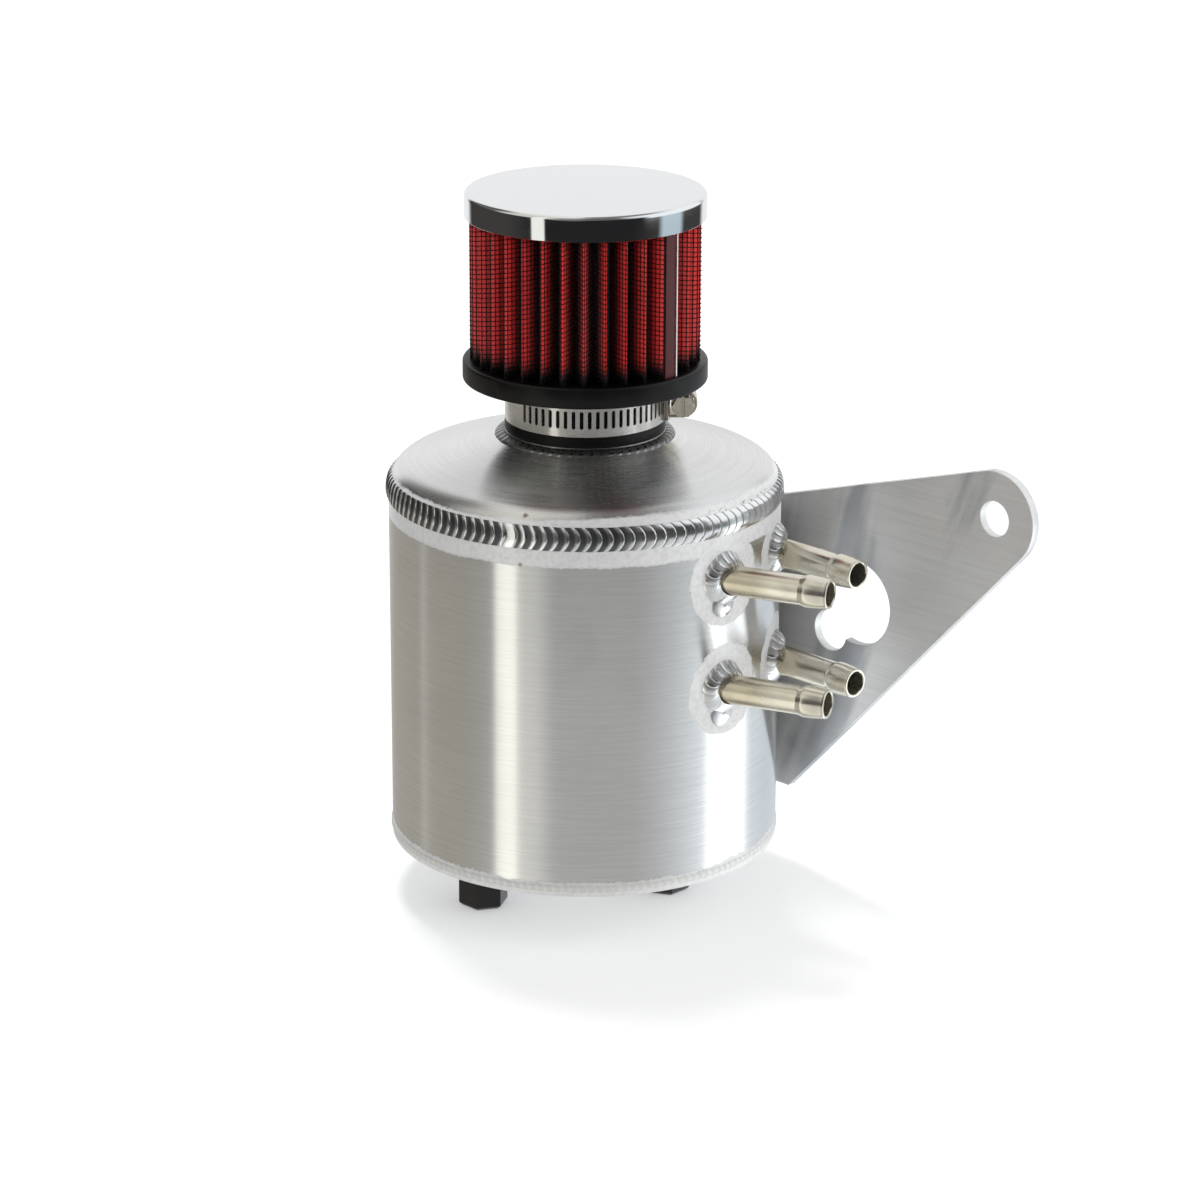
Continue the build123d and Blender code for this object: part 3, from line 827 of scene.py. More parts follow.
def grow(tree, name, start=None, **values):
    """Run a Geometry Nodes recipe once and keep its result as a plain mesh."""
    piece = bpy.data.objects.new(name, start or bpy.data.meshes.new(name))
    scene.collection.objects.link(piece)
    recipe = piece.modifiers.new("recipe", "NODES")
    recipe.node_group = tree
    for item in tree.interface.items_tree:
        if item.item_type == "SOCKET" and item.in_out == "INPUT" and item.name in values:
            recipe[item.identifier] = values[item.name]
    depsgraph = bpy.context.evaluated_depsgraph_get()
    result = bpy.data.meshes.new_from_object(
        piece.evaluated_get(depsgraph), preserve_all_data_layers=True, depsgraph=depsgraph
    )
    piece.modifiers.remove(recipe)
    piece.data = result
    result.name = name
    return piece


print("piece helpers ready")

# %% [markdown]
# A turned or spun piece is a half section swung round an axis. Swinging it here, with many
# steps, gives mirrors that show no facet. Both the tubes and the pieces round the can's own
# axis are made this way.

# %% Spinning
AXIS_DISTANCE = 0.0001 * MM


def spin_about(name, outline, origin, heading, sides):
    """Spin a half section of (distance along, radius) points about an axis, as a closed skin."""
    reference = Vector((1.0, 0.0, 0.0)) if abs(heading.z) > 0.9 else Vector(UP)
    side = reference.cross(heading).normalized()
    upward = heading.cross(side)
    work = bmesh.new()
    rings = []
    for step in range(sides):
        angle = tau * step / sides
        spoke = side * cos(angle) + upward * sin(angle)
        rings.append([work.verts.new(origin + heading * a + spoke * r) for a, r in outline])
    count = len(outline)
    for step in range(sides):
        ring, following = rings[step], rings[(step + 1) % sides]
        for i in range(count):
            j = (i + 1) % count
            work.faces.new((ring[i], ring[j], following[j], following[i]))
    bmesh.ops.remove_doubles(work, verts=work.verts, dist=AXIS_DISTANCE)
    bmesh.ops.recalc_face_normals(work, faces=work.faces)
    mesh = bpy.data.meshes.new(name)
    work.to_mesh(mesh)
    work.free()
    smooth(mesh)
    return bpy.data.objects.new(name, mesh)


def arc(centre, radius, start, end, steps):
    """Points on an arc of (along, radius) about a centre, angles from the outward direction."""
    points = []
    for step in range(steps + 1):
        angle = radians(start + (end - start) * step / steps)
        points.append((centre[0] + radius * sin(angle), centre[1] + radius * cos(angle)))
    return points


print("spinning ready")

# %% [markdown]
# The sheet-metal pieces keep their modelled form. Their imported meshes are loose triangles, so
# a merged copy stands in for each. The can's wall is pierced for the tubes, which leaves
# slivers in its mesh, and slivers spoil averaged normals; but a tube's normals are known, they
# point straight away from its axis, so they are set instead of averaged.

# %% Sheet metal
ROUND_WALL = 0.7
FACES_OUT = 0.995


def set_wall_normals(mesh):
    """Give every corner on the round walls its true normal, away from or to the axis."""
    normals = []
    for face in mesh.polygons:
        outward = Vector((face.center.x, face.center.y, 0.0)).normalized()
        facing = face.normal.dot(outward)
        for index in face.vertices:
            point = mesh.vertices[index].co
            radial = Vector((point.x, point.y, 0.0)).normalized()
            far_out = hypot(point.x, point.y) > can_radius * ROUND_WALL
            on_wall = abs(facing) > FACES_OUT and far_out
            normals.append(radial * (1.0 if facing > 0 else -1.0) if on_wall else face.normal)
    mesh.normals_split_custom_set(normals)


shell_piece = fair_copy("can_shell", "can_body", body_material)
set_wall_normals(shell_piece.data)
fair_copy("base_disc", "bottom_plate", bottom_material)
fair_copy("neck_ring", "vent_neck", neck_material, bevel=0.3 * MM)
fair_copy("bracket_plate", "mounting_bracket", bracket_material, bevel=0.25 * MM)
print("sheet metal copied")

# %% [markdown]
# The dome is spun from sheet: a bend at the shoulder, then a shallow curve up to the neck. Its
# section is drawn again from the same few numbers as the model's, outside and inside.

# %% Dome
WALL = 2.0 * MM
SHOULDER_INSET = 7.0 * MM
SHOULDER_RISE = 9.0 * MM
SKIRT = 0.6 * MM
DOME_SIDES = 288


def dome_face(shrink, steps=12):
    """Outline of the dome's outside, or of its inside when shrunk by the wall."""
    bend = (SHOULDER_INSET ** 2 + SHOULDER_RISE ** 2) / (2 * SHOULDER_INSET)
    start_z = seam_z + SKIRT
    centre_r = can_radius - bend
    end_angle = atan2(SHOULDER_RISE, bend - SHOULDER_INSET)
    end_r = can_radius - SHOULDER_INSET
    end_z = start_z + SHOULDER_RISE
    neck_r = neck_high.x + 0.1 * MM
    dome_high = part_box("top_dome")[1]
    outline = [(seam_z, can_radius - shrink)]
    for step in range(steps + 1):
        angle = end_angle * step / steps
        reach = bend - shrink
        outline.append((start_z + reach * sin(angle), centre_r + reach * cos(angle)))
    drop = end_z - outline[-1][0]
    inward = end_r - outline[-1][1]
    chord_r = end_r - neck_r
    chord_z = dome_high.z - end_z
    slope = pi / 2 - end_angle
    bulge = (atan2(chord_z, chord_r) - slope) * hypot(chord_r, chord_z) / 4
    for step in range(1, steps + 1):
        share = step / steps
        sag = bulge * 4 * share * (1 - share)
        along = end_z + chord_z * share - sag - drop
        outline.append((along, end_r - chord_r * share - inward * (1 - share)))
    return outline


dome_outline = dome_face(0.0) + dome_face(WALL)[::-1]
dome = spin_about("dome_shell", dome_outline, Vector((0, 0, 0)), Vector(UP), DOME_SIDES)
finish_piece(dome, dome_material, ["top_dome"])
print("dome:", len(dome.data.polygons), "faces")

# %% [markdown]
# Four forms are grown by Geometry Nodes recipes: the weld beads, the folded cotton, its wire
# cloth and the clamp's strip. They share these few steps, and each ends in the same way: every
# instance is made real and gets its material.

# %% Recipe helpers
COUNT = "NodeSocketInt"
SHAPE = "NodeSocketGeometry"
METAL = "NodeSocketMaterial"


def finish_recipe(tree, given, result, shape):
    """End a recipe: instances made real, the material set, the shape handed out."""
    real = node(tree, "GeometryNodeRealizeInstances", {"Geometry": shape})
    painted = node(
        tree, "GeometryNodeSetMaterial", {"Geometry": real.outputs[0], "Material": given["Metal"]}
    )
    feed(tree, result.inputs[0], painted.outputs[0])


def stored_value(tree, kind, label):
    made = node(tree, "GeometryNodeInputNamedAttribute", {"Name": label}, data_type=kind)
    return made.outputs["Attribute"]


def store(tree, shape, label, value):
    made = node(
        tree, "GeometryNodeStoreNamedAttribute",
        {"Geometry": shape, "Name": label, "Value": value}, data_type="FLOAT", domain="POINT",
    )
    return made.outputs[0]


def put(tree, shape, place):
    """Move every point of a shape to its place."""
    made = node(tree, "GeometryNodeSetPosition", {"Geometry": shape, "Position": place})
    return made.outputs[0]


def sweep(tree, curve, profile, **options):
    inputs = {"Curve": curve, "Profile Curve": profile, **options}
    return node(tree, "GeometryNodeCurveToMesh", inputs).outputs[0]


def scatter(tree, points, shape):
    made = node(tree, "GeometryNodeInstanceOnPoints", {"Points": points, "Instance": shape})
    return made.outputs[0]


def together(tree, *shapes):
    both = node(tree, "GeometryNodeJoinGeometry")
    for shape in shapes:
        tree.links.new(shape, both.inputs[0])
    return both.outputs[0]


def here(tree):
    return node(tree, "GeometryNodeInputPosition").outputs[0]


print("recipe helpers ready")

# %% [markdown]
# A weld bead is a row of overlapping puddles, like a stack of coins that has slid over. Each
# froze with its front edge bowed forward. Modelling every coin would take thousands of faces
# and never look fused, so one recipe sweeps a flat bead along a path and raises the ripples on
# it: each climbs slowly and then drops at its bowed front edge, and that thin steep front is
# what catches the light. The rows of the mesh are bent back at the bead's flanks, so they lie
# along the bowed edges and keep them crisp. The path carries the direction in which the bead
# stands proud, and how strong the ripples are at each point.

# %% Recipe: weld bead
FRONT_EDGE = 0.875
STEPS_PER_RIPPLE = 16
WOBBLE_SCALE = 260.0
BEAD_SHARP_ANGLE = radians(50)


def make_bead_recipe():
    tree, given, result = new_group(
        "weld_bead", "GeometryNodeTree",
        [
            ("Path", SHAPE, None), ("Ripples", NUMBER, 100.0),
            ("Steps", COUNT, 1000), ("Sides", COUNT, 18),
            ("Half width", NUMBER, 0.002), ("Proud", NUMBER, 0.001),
            ("Ripple depth", NUMBER, 0.2), ("Bow", NUMBER, 0.002), ("Unevenness", NUMBER, 0.1),
            ("Seed", NUMBER, 0.0), ("Metal", METAL, None),
        ],
        [("Bead", SHAPE)],
    )
    curve = node(tree, "GeometryNodeMeshToCurve", {"Mesh": given["Path"]}).outputs[0]
    resampled = node(tree, "GeometryNodeResampleCurve", {"Curve": curve, "Count": given["Steps"]})
    caught = node(tree, "GeometryNodeCaptureAttribute", domain="POINT")
    kept = {
        "centre": ("VECTOR", here(tree)),
        "outward": ("VECTOR", stored_value(tree, "FLOAT_VECTOR", "outward")),
        "along": ("FLOAT", node(tree, "GeometryNodeSplineParameter").outputs["Factor"]),
        "strength": ("FLOAT", stored_value(tree, "FLOAT", "strength")),
        "heading": ("VECTOR", node(tree, "GeometryNodeInputTangent").outputs[0]),
    }
    for label, (kind, value) in kept.items():
        caught.capture_items.new(kind, label)
    feed(tree, caught.inputs[0], resampled.outputs[0])
    for label, (kind, value) in kept.items():
        feed(tree, caught.inputs[label], value)
    circle = node(
        tree, "GeometryNodeCurvePrimitiveCircle",
        {"Resolution": given["Sides"], "Radius": given["Half width"]},
    )
    swept = sweep(tree, caught.outputs[0], circle.outputs[0], **{"Fill Caps": True})
    centre = caught.outputs["centre"]
    out_direction = vector_math(tree, "NORMALIZE", caught.outputs["outward"])
    offset = vector_math(tree, "SUBTRACT", here(tree), centre)
    lift = vector_math(tree, "DOT_PRODUCT", offset, out_direction)
    lift_share = lift / given["Half width"]
    sideways = vector_math(
        tree, "SUBTRACT", offset, vector_math(tree, "SCALE", out_direction, scale=lift)
    )
    uneven = node(
        tree, "ShaderNodeTexNoise",
        {"Vector": centre, "W": given["Seed"], "Scale": WOBBLE_SCALE}, noise_dimensions="4D",
    )
    wobble = (Term(tree, uneven.outputs[0]) - 0.5) * given["Unevenness"]
    from_crest = (1.0 - lift_share * lift_share).math("MAXIMUM", 0.0).math("SQRT")
    lag = (from_crest * from_crest + wobble * 3.0) * given["Bow"]
    along = Term(tree, caught.outputs["along"])
    tooth = (along * given["Ripples"] + 0.001).math("FRACT")
    climb = tooth / FRONT_EDGE
    drop = (1.0 - tooth) / (1.0 - FRONT_EDGE)
    hollow = 1.0 - climb.math("MINIMUM", drop).math("MINIMUM", 1.0)
    power = Term(tree, caught.outputs["strength"])
    above = lift_share.math("GREATER_THAN", 0.0)
    cube = from_crest * from_crest * from_crest
    full = power * 0.65 + 0.35
    relief = (wobble - hollow * given["Ripple depth"] * power) * (1.0 - cube * cube)
    crown = (1.0 - cube) * full + relief
    rise = (above * crown + (1.0 - above) * lift_share * 0.4) * given["Proud"]
    across = vector_math(tree, "SCALE", sideways, scale=1.0 + wobble * 0.8)
    upward = vector_math(tree, "SCALE", out_direction, scale=rise)
    back = vector_math(tree, "SCALE", caught.outputs["heading"], scale=lag * -1.0)
    new_offset = vector_math(tree, "ADD", vector_math(tree, "ADD", across, upward), back)
    placed = put(tree, swept, vector_math(tree, "ADD", centre, new_offset))
    finish_recipe(tree, given, result, store(tree, placed, "valley", hollow * power))
    return tree


bead_recipe = make_bead_recipe()


def path_mesh(name, points, outward, closed=True, strength=None):
    """A path as a mesh of edges that carries the bead's outward direction and its strength."""
    mesh = bpy.data.meshes.new(name)
    count = len(points)
    edges = [(i, (i + 1) % count) for i in range(count if closed else count - 1)]
    mesh.from_pydata([tuple(p) for p in points], edges, [])
    stored = mesh.attributes.new("outward", "FLOAT_VECTOR", "POINT")
    for item, direction in zip(stored.data, outward):
        item.vector = direction
    strengths = mesh.attributes.new("strength", "FLOAT", "POINT")
    for item, value in zip(strengths.data, strength or [1.0] * count):
        item.value = value
    return mesh


def lay_bead(name, path, stands_for, metal, ripples, half_width, proud, depth, bow, unevenness,
             seed, steps=None, sides=18):
    """Grow a bead along a path; its half width, its height and its bow are in millimetres."""
    bead = grow(
        bead_recipe, name, path, Steps=steps or ripples * STEPS_PER_RIPPLE, Sides=sides,
        Ripples=float(ripples), Proud=proud * MM, Bow=bow * MM, Unevenness=unevenness,
        Seed=float(seed), Metal=metal,
        **{"Half width": half_width * MM, "Ripple depth": depth},
    )
    smooth(bead.data, BEAD_SHARP_ANGLE)
    return finish_piece(bead, metal, stands_for)


print("bead recipe:", len(bead_recipe.nodes), "nodes")

# %% [markdown]
# The seam between can and dome is the showpiece: nearly a hundred and twenty even ripples on a
# flat bead that lies half on the wall and half on the dome's bend. It is smooth in one short
# place, where the weld was begun and closed. The rim bead below is thin and pale, without
# ripples. A third bead fills the corner at the neck, and leans outward between wall and dome.

# %% Beads round the can
RING_POINTS = 720
RESTART_HALF = radians(2.6)
RESTART_FADE = 0.72


def ring_path(name, radius, height, lean, restart=None):
    """A level circle; lean is the outward direction's angle above the horizon.

    At restart, an angle from the camera's side, the weld was begun and closed, and is smooth.
    """
    points = []
    outward = []
    strength = []
    for step in range(RING_POINTS):
        angle = tau * step / RING_POINTS
        points.append(Vector((radius * cos(angle), radius * sin(angle), height)))
        outward.append(Vector((cos(lean) * cos(angle), cos(lean) * sin(angle), sin(lean))))
        strength.append(1.0)
        if restart is not None:
            away = angle - from_front(restart)
            away = abs((away + pi) % tau - pi) / RESTART_HALF
            strength[-1] -= RESTART_FADE * max(0.0, min(1.0, 2.5 - 2.5 * away))
    return path_mesh(name, points, outward, strength=strength)


SEAM_RIPPLES = 118
seam_low, seam_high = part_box("top_seam_weld")
seam_middle = (seam_low.z + seam_high.z) / 2 + 0.1 * MM
seam_path = ring_path(
    "seam_path", can_radius - 0.45 * MM, seam_middle, radians(9), restart=radians(-20.4)
)
lay_bead(
    "seam_bead", seam_path, ["top_seam_weld"], seam_material, ripples=SEAM_RIPPLES,
    half_width=3.8, proud=1.30, depth=0.30, bow=1.9, unevenness=0.08, seed=1, sides=20,
)
rim_path = ring_path("rim_path", can_radius - 0.25 * MM, rim_z - 0.6 * MM, radians(-12))
lay_bead(
    "rim_bead", rim_path, ["bottom_seam_weld"], rim_material, ripples=150,
    half_width=1.4, proud=0.60, depth=0.0, bow=0.6, unevenness=0.50, seed=2, steps=1200,
)
neck_weld_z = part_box("neck_weld")[1].z
neck_path = ring_path("neck_path", neck_high.x + 1.5 * MM, neck_weld_z - 1.2 * MM, radians(60))
lay_bead(
    "neck_bead", neck_path, ["neck_weld"], neck_weld_material, ripples=56,
    half_width=1.9, proud=0.6, depth=0.015, bow=1.2, unevenness=0.30, seed=3, sides=20,
)
print("ring beads laid, seam ripples:", SEAM_RIPPLES)

# %% [markdown]
# Round each hose tube the bead follows the line where the slanting tube meets the round can, a
# saddle curve. It is worked out point by point: from the tube's axis go out by the path's
# radius, then along the tube until the can's surface is reached. The bead leans halfway
# between the tube and the can, and its ripples are strong on one side only.

# %% Beads round the hose tubes
RIPPLED_SIDE = radians(125)
PATH_LIFT = 0.5 * MM
TUBE_AXES = {}
for tube in TUBES:
    low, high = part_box(f"hose_tube_{tube}")
    radius = (high.z - low.z) / 2
    mount = next(m for m in frame["record"]["mounts"] if m["name"] == f"hose_{tube}")
    TUBE_AXES[tube] = (Vector(mount["pos_m"]), Vector(mount["axis"]), radius)


def reach_can(start, heading):
    """Distance back along a level heading from a point outside to the can's surface."""
    along = start.x * heading.x + start.y * heading.y
    apart = start.x ** 2 + start.y ** 2 - can_radius ** 2
    return along - (along * along - apart) ** 0.5


def path_on_can(name, tube, path_radius, count, drop=0.0, shift=0.0, saddle=True):
    """A line on the can's skin round a tube, or round a spot below and beside it."""
    end, heading = TUBE_AXES[tube][:2]
    side = Vector((-heading.y, heading.x, 0.0))
    middle = end - Vector(UP) * drop - side * shift
    points = []
    outward = []
    strength = []
    for step in range(count):
        angle = tau * step / count
        spoke = side * cos(angle) + Vector(UP) * sin(angle)
        start = middle + spoke * path_radius
        foot = start - heading * reach_can(start, heading)
        can_normal = Vector((foot.x, foot.y, 0.0)).normalized()
        points.append(foot + can_normal * PATH_LIFT)
        outward.append((can_normal + spoke).normalized() if saddle else can_normal)
        strength.append(max(0.0, cos(angle - RIPPLED_SIDE)) ** 1.5 if saddle else 1.0)
    return path_mesh(name, points, outward, strength=strength)


for index, tube in enumerate(TUBES):
    lay_bead(
        f"tube_bead_{tube}", path_on_can(f"saddle_{tube}", tube, 6.7 * MM, count=120),
        [f"hose_weld_{tube}"], hose_weld_material, ripples=22,
        half_width=3.4, proud=2.6, depth=0.12, bow=2.0, unevenness=0.12, seed=10 + index,
        sides=24,
    )
print("tube beads:", len(TUBES))

# %% [markdown]
# Each of these welds was closed under its tube, where the last puddle froze as a small round
# pad with a raised rim. It is a tiny closed bead of its own, without ripples.

# %% Last puddles
PUDDLE_DROP = 7.8 * MM
PUDDLE_SHIFT = 1.7 * MM
for index, tube in enumerate(TUBES):
    puddle_path = path_on_can(
        f"puddle_{tube}", tube, 1.9 * MM, count=48, drop=PUDDLE_DROP, shift=PUDDLE_SHIFT,
        saddle=False,
    )
    lay_bead(
        f"tube_puddle_{tube}", puddle_path, [f"hose_weld_{tube}"], hose_weld_material,
        ripples=1, half_width=2.2, proud=0.5, depth=0.0, bow=0.0, unevenness=0.20,
        seed=20 + index, steps=48, sides=16,
    )
print("last puddles:", len(TUBES))

# %% [markdown]
# Two upright beads join the bracket to the back of the can. They hide in the narrow wedge
# between the two, and run straight.

# %% Bracket beads


def upright_path(name, x, low_z, high_z, count=60):
    middle_y = ((can_radius ** 2 - x ** 2) ** 0.5 + plate_low.y) / 2
    height = high_z - low_z
    points = [Vector((x, middle_y, low_z + height * i / (count - 1))) for i in range(count)]
    outward = [Vector((1.0 if x > 0 else -1.0, 0.0, 0.0))] * count
    return path_mesh(name, points, outward, closed=False)


welds_low, welds_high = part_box("bracket_welds")
bead_x = welds_high.x - 2.5 * MM
for label, bead_side, seed in (("left", -bead_x, 21), ("right", bead_x, 22)):
    lay_bead(
        f"bracket_bead_{label}",
        upright_path(f"{label}_path", bead_side, welds_low.z, welds_high.z),
        ["bracket_welds"], seam_material, ripples=40,
        half_width=1.6, proud=2.0, depth=0.20, bow=1.2, unevenness=0.15, seed=seed,
    )
print("bracket beads laid")

# %% [markdown]
# A hose tube is turned, so it is spun from its half section. The barb near its end rises
# quickly and falls back slowly towards the mouth, where the rim is eased. Spinning the true
# section gives the long clean highlights that a merged mesh can't.

# %% Hose tubes
TUBE_SIDES = 56
TUBE_WALL = 1.0 * MM
TUBE_BURIED = 5.0 * MM
BARB_CLIMB = 2.4 * MM
BARB_PROUD = 0.5 * MM
BARB_LENGTH = 8.5 * MM
BARB_LAND = 0.9 * MM
MOUTH_EASE = 0.35 * MM
MOUTH_CHAMFER = 0.25 * MM


def tube_section(back, radius, steps=10):
    """Half section of a hose tube, from its buried end to its mouth; 0 is the mouth."""
    inner = radius - TUBE_WALL
    outline = [(-back, inner), (-back, radius), (-BARB_LENGTH - BARB_CLIMB / 2, radius)]
    for step in range(1, steps + 1):
        share = step / steps
        rise = sin(share * pi / 2) ** 2 * BARB_PROUD
        outline.append((-BARB_LENGTH + (share - 0.5) * BARB_CLIMB, radius + rise))
    crest = -BARB_LENGTH + BARB_CLIMB / 2
    for step in range(1, steps + 1):
        share = step / steps
        rise = cos(share * pi / 2) ** 1.2 * BARB_PROUD
        outline.append((crest + share * (-BARB_LAND - crest), radius + rise))
    for step in range(1, 5):
        angle = pi / 2 * step / 4
        back_off = MOUTH_EASE * (1 - sin(angle))
        outline.append((-back_off, radius - MOUTH_EASE * (1 - cos(angle))))
    return outline + [(0.0, inner + MOUTH_CHAMFER), (-MOUTH_CHAMFER, inner)]


for tube in TUBES:
    end, heading, outer = TUBE_AXES[tube]
    section = tube_section(reach_can(end, heading) + TUBE_BURIED, outer - BARB_PROUD)
    piece = spin_about(f"tube_{tube}", section, end, heading, TUBE_SIDES)
    finish_piece(piece, tube_material, [f"hose_tube_{tube}"])
print("hose tubes:", len(TUBES))

# %% [markdown]
# The rubber base, the cap and the black fittings keep their modelled form, with eased edges
# that catch the light.

# %% Rubber, chrome and fittings
fair_copy("rubber_base", "filter_base", rubber_material)
CAP_ROUND = 1.6 * MM
CAP_WALL = 0.8 * MM
CAP_EASE = 0.2 * MM
CAP_SIDES = 256
cap_radius = cap_high.x
bend = (cap_high.z - CAP_ROUND, cap_radius - CAP_ROUND)
cup = [(cap_low.z, cap_radius - CAP_WALL), (cap_low.z, cap_radius - CAP_EASE)]
cup += [(cap_low.z + CAP_EASE, cap_radius)]
cup += arc(bend, CAP_ROUND, 0, 90, 10)
cup += [(cap_high.z, 0.0), (cap_high.z - CAP_WALL, 0.0)]
cup += arc(bend, CAP_ROUND - CAP_WALL, 90, 0, 6)
cap = spin_about("chrome_cap", cup, Vector((0, 0, 0)), Vector(UP), CAP_SIDES)
finish_piece(cap, chrome_material, ["filter_cap"])
fair_copy("cap_potting", "filter_potting", potting_material)
fair_copy("inner_screen", "filter_inner_screen", hidden_metal)
fair_copy("bungs", "base_bungs", hidden_metal, bevel=0.4 * MM)
fair_copy("cock", "drain_cock", anodised_material, body="cock", bevel=0.25 * MM)
fair_copy("cock_seal", "drain_seal", rubber_material)
for side in ("right", "rear"):
    fair_copy(f"plug_{side}", f"blank_plug_{side}", anodised_material, bevel=0.25 * MM)
    fair_copy(f"seal_{side}", f"plug_seal_{side}", rubber_material)
fair_copy("drilled_baffle", "baffle_plate", hidden_metal)
fair_copy("wool_pad", "mesh_pad", pad_material)
fair_copy("lower_baffle", "slosh_baffle", hidden_metal)
print("plain copies done")

# %% [markdown]
# The filter medium is one sheet folded thirty-four times. Its outline is a wave round a
# circle: sharp enough to be folds, round enough to be cloth. An arcsine of a cosine gives that
# wave. The recipe bends a flat grid to it and stores the depth of each point in the fold.

# %% Recipe: folds
PLEATS = 34
PLEAT_TURN = radians(-3.25)
FOLD_DEPTH = 7.6 * MM
FOLD_SHARPNESS = 0.965
FOLD_SWAY = 0.004
FOLD_COLUMNS = 16


def fold_place(tree, share, height, outer, depth, pleats):
    """Point on the folded sheet at a share of the way round, and its depth in the fold."""
    swing = (share * pleats * tau).math("COSINE") * FOLD_SHARPNESS
    fold = 0.5 - swing.math("ARCSINE") * (0.5 / asin(FOLD_SHARPNESS))
    lean = node(
        tree, "ShaderNodeTexNoise", {"W": share * pleats, "Scale": 1.0}, noise_dimensions="1D"
    )
    sway = (Term(tree, lean.outputs[0]) - 0.5) * FOLD_SWAY
    angle = (share + sway * 0.5) * tau + PLEAT_TURN
    radius = outer - fold * depth
    return join(tree, angle.math("COSINE") * radius, angle.math("SINE") * radius, height), fold


def make_fold_recipe():
    tree, given, result = new_group(
        "folds", "GeometryNodeTree",
        [
            ("Pleats", NUMBER, 34.0), ("Columns", COUNT, 500), ("Rows", COUNT, 12),
            ("Outer", NUMBER, 0.037), ("Depth", NUMBER, 0.008), ("Low", NUMBER, 0.0),
            ("High", NUMBER, 0.05), ("Metal", METAL, None),
        ],
        [("Sheet", SHAPE)],
    )
    grid = node(
        tree, "GeometryNodeMeshGrid",
        {"Size X": 1.0, "Size Y": 1.0, "Vertices X": given["Columns"], "Vertices Y": given["Rows"]},
    )
    x, y, z = split(tree, here(tree))
    low = Term(tree, given["Low"])
    height = low + (y + 0.5) * (Term(tree, given["High"]) - low)
    outer = Term(tree, given["Outer"])
    place, fold = fold_place(tree, x + 0.5, height, outer, given["Depth"], given["Pleats"])
    bent = put(tree, store(tree, grid.outputs[0], "depth", fold), place)
    merged = node(
        tree, "GeometryNodeMergeByDistance", {"Geometry": bent, "Distance": 0.01 * MM}
    )
    finish_recipe(tree, given, result, merged.outputs[0])
    return tree


fold_recipe = make_fold_recipe()
media_radius = media_high.x
folds = grow(
    fold_recipe, "cotton_folds", Pleats=float(PLEATS), Columns=PLEATS * FOLD_COLUMNS + 1,
    Rows=12, Outer=media_radius - 0.35 * MM, Depth=FOLD_DEPTH, Low=media_low.z,
    High=media_high.z, Metal=cotton_material,
)
thicken = folds.modifiers.new("thickness", "SOLIDIFY")
thicken.thickness = 0.8 * MM
thicken.offset = -1.0
smooth(folds.data, radians(80))
finish_piece(folds, cotton_material, ["filter_media"])
print("folds:", PLEATS, "pleats,", len(folds.data.polygons), "faces")

# %% [markdown]
# A black coated wire mesh holds the folds. Its level wires follow the folded outline and its
# upright wires stand at even steps along it. Real crossings are woven. In wire a third of a
# millimetre thick that can't be seen, so the recipe only sweeps three-sided wires.

# %% Recipe: wire mesh
WIRE_RADIUS = 0.18 * MM
WIRE_PITCH = 1.45 * MM


def make_wire_recipe():
    tree, given, result = new_group(
        "wire_mesh", "GeometryNodeTree",
        [
            ("Pleats", NUMBER, 34.0), ("Points", COUNT, 500),
            ("Outer", NUMBER, 0.037), ("Depth", NUMBER, 0.008), ("Low", NUMBER, 0.0),
            ("High", NUMBER, 0.05), ("Rings", COUNT, 34), ("Pitch", NUMBER, 0.00135),
            ("Wire", NUMBER, 0.00015), ("Metal", METAL, None),
        ],
        [("Mesh", SHAPE)],
    )
    low = Term(tree, given["Low"])
    high = Term(tree, given["High"])
    circle = node(
        tree, "GeometryNodeCurvePrimitiveCircle", {"Resolution": given["Points"], "Radius": 1.0}
    )
    share = Term(tree, node(tree, "GeometryNodeSplineParameter").outputs["Factor"])
    outer = Term(tree, given["Outer"])
    place, fold = fold_place(tree, share, low, outer, given["Depth"], given["Pleats"])
    outline = put(tree, circle.outputs[0], place)
    section = node(
        tree, "GeometryNodeCurvePrimitiveCircle", {"Resolution": 3, "Radius": given["Wire"]}
    ).outputs[0]
    upright = join(tree, 0.0, 0.0, high - low)
    ladder = node(
        tree, "GeometryNodeMeshLine",
        {"Count": given["Rings"], "Start Location": (0.0, 0.0, 0.0), "Offset": upright},
        mode="END_POINTS",
    )
    rings = scatter(tree, ladder.outputs[0], sweep(tree, outline, section))
    stations = node(
        tree, "GeometryNodeResampleCurve", {"Curve": outline, "Length": given["Pitch"]},
        mode="LENGTH",
    )
    post_line = node(tree, "GeometryNodeCurvePrimitiveLine", {"End": upright})
    posts = scatter(tree, stations.outputs[0], sweep(tree, post_line.outputs[0], section))
    finish_recipe(tree, given, result, together(tree, rings, posts))
    return tree


wire_recipe = make_wire_recipe()
WIRE_INSET = 0.2 * MM
wires = grow(
    wire_recipe, "wire_mesh", Pleats=float(PLEATS), Points=PLEATS * FOLD_COLUMNS,
    Outer=media_radius - 0.15 * MM, Depth=FOLD_DEPTH, Low=media_low.z + WIRE_INSET,
    High=media_high.z - WIRE_INSET, Rings=int((media_high.z - media_low.z) / WIRE_PITCH),
    Pitch=WIRE_PITCH, Wire=WIRE_RADIUS, Metal=wire_material,
)
smooth(wires.data, radians(180))
finish_piece(wires, wire_material, [])
print("wire mesh:", len(wires.data.polygons), "faces")

# %% [markdown]
# Where the folded sheet closes on itself, its ends lap in a smooth strip, and a thin metal clip
# pinches the lap. Both are plain curved plates that stand just outside the wires.

# %% Lap and clip
LAP_ANGLES = (radians(-2.4), radians(4.4))
CLIP_ANGLES = (radians(4.4), radians(5.1))


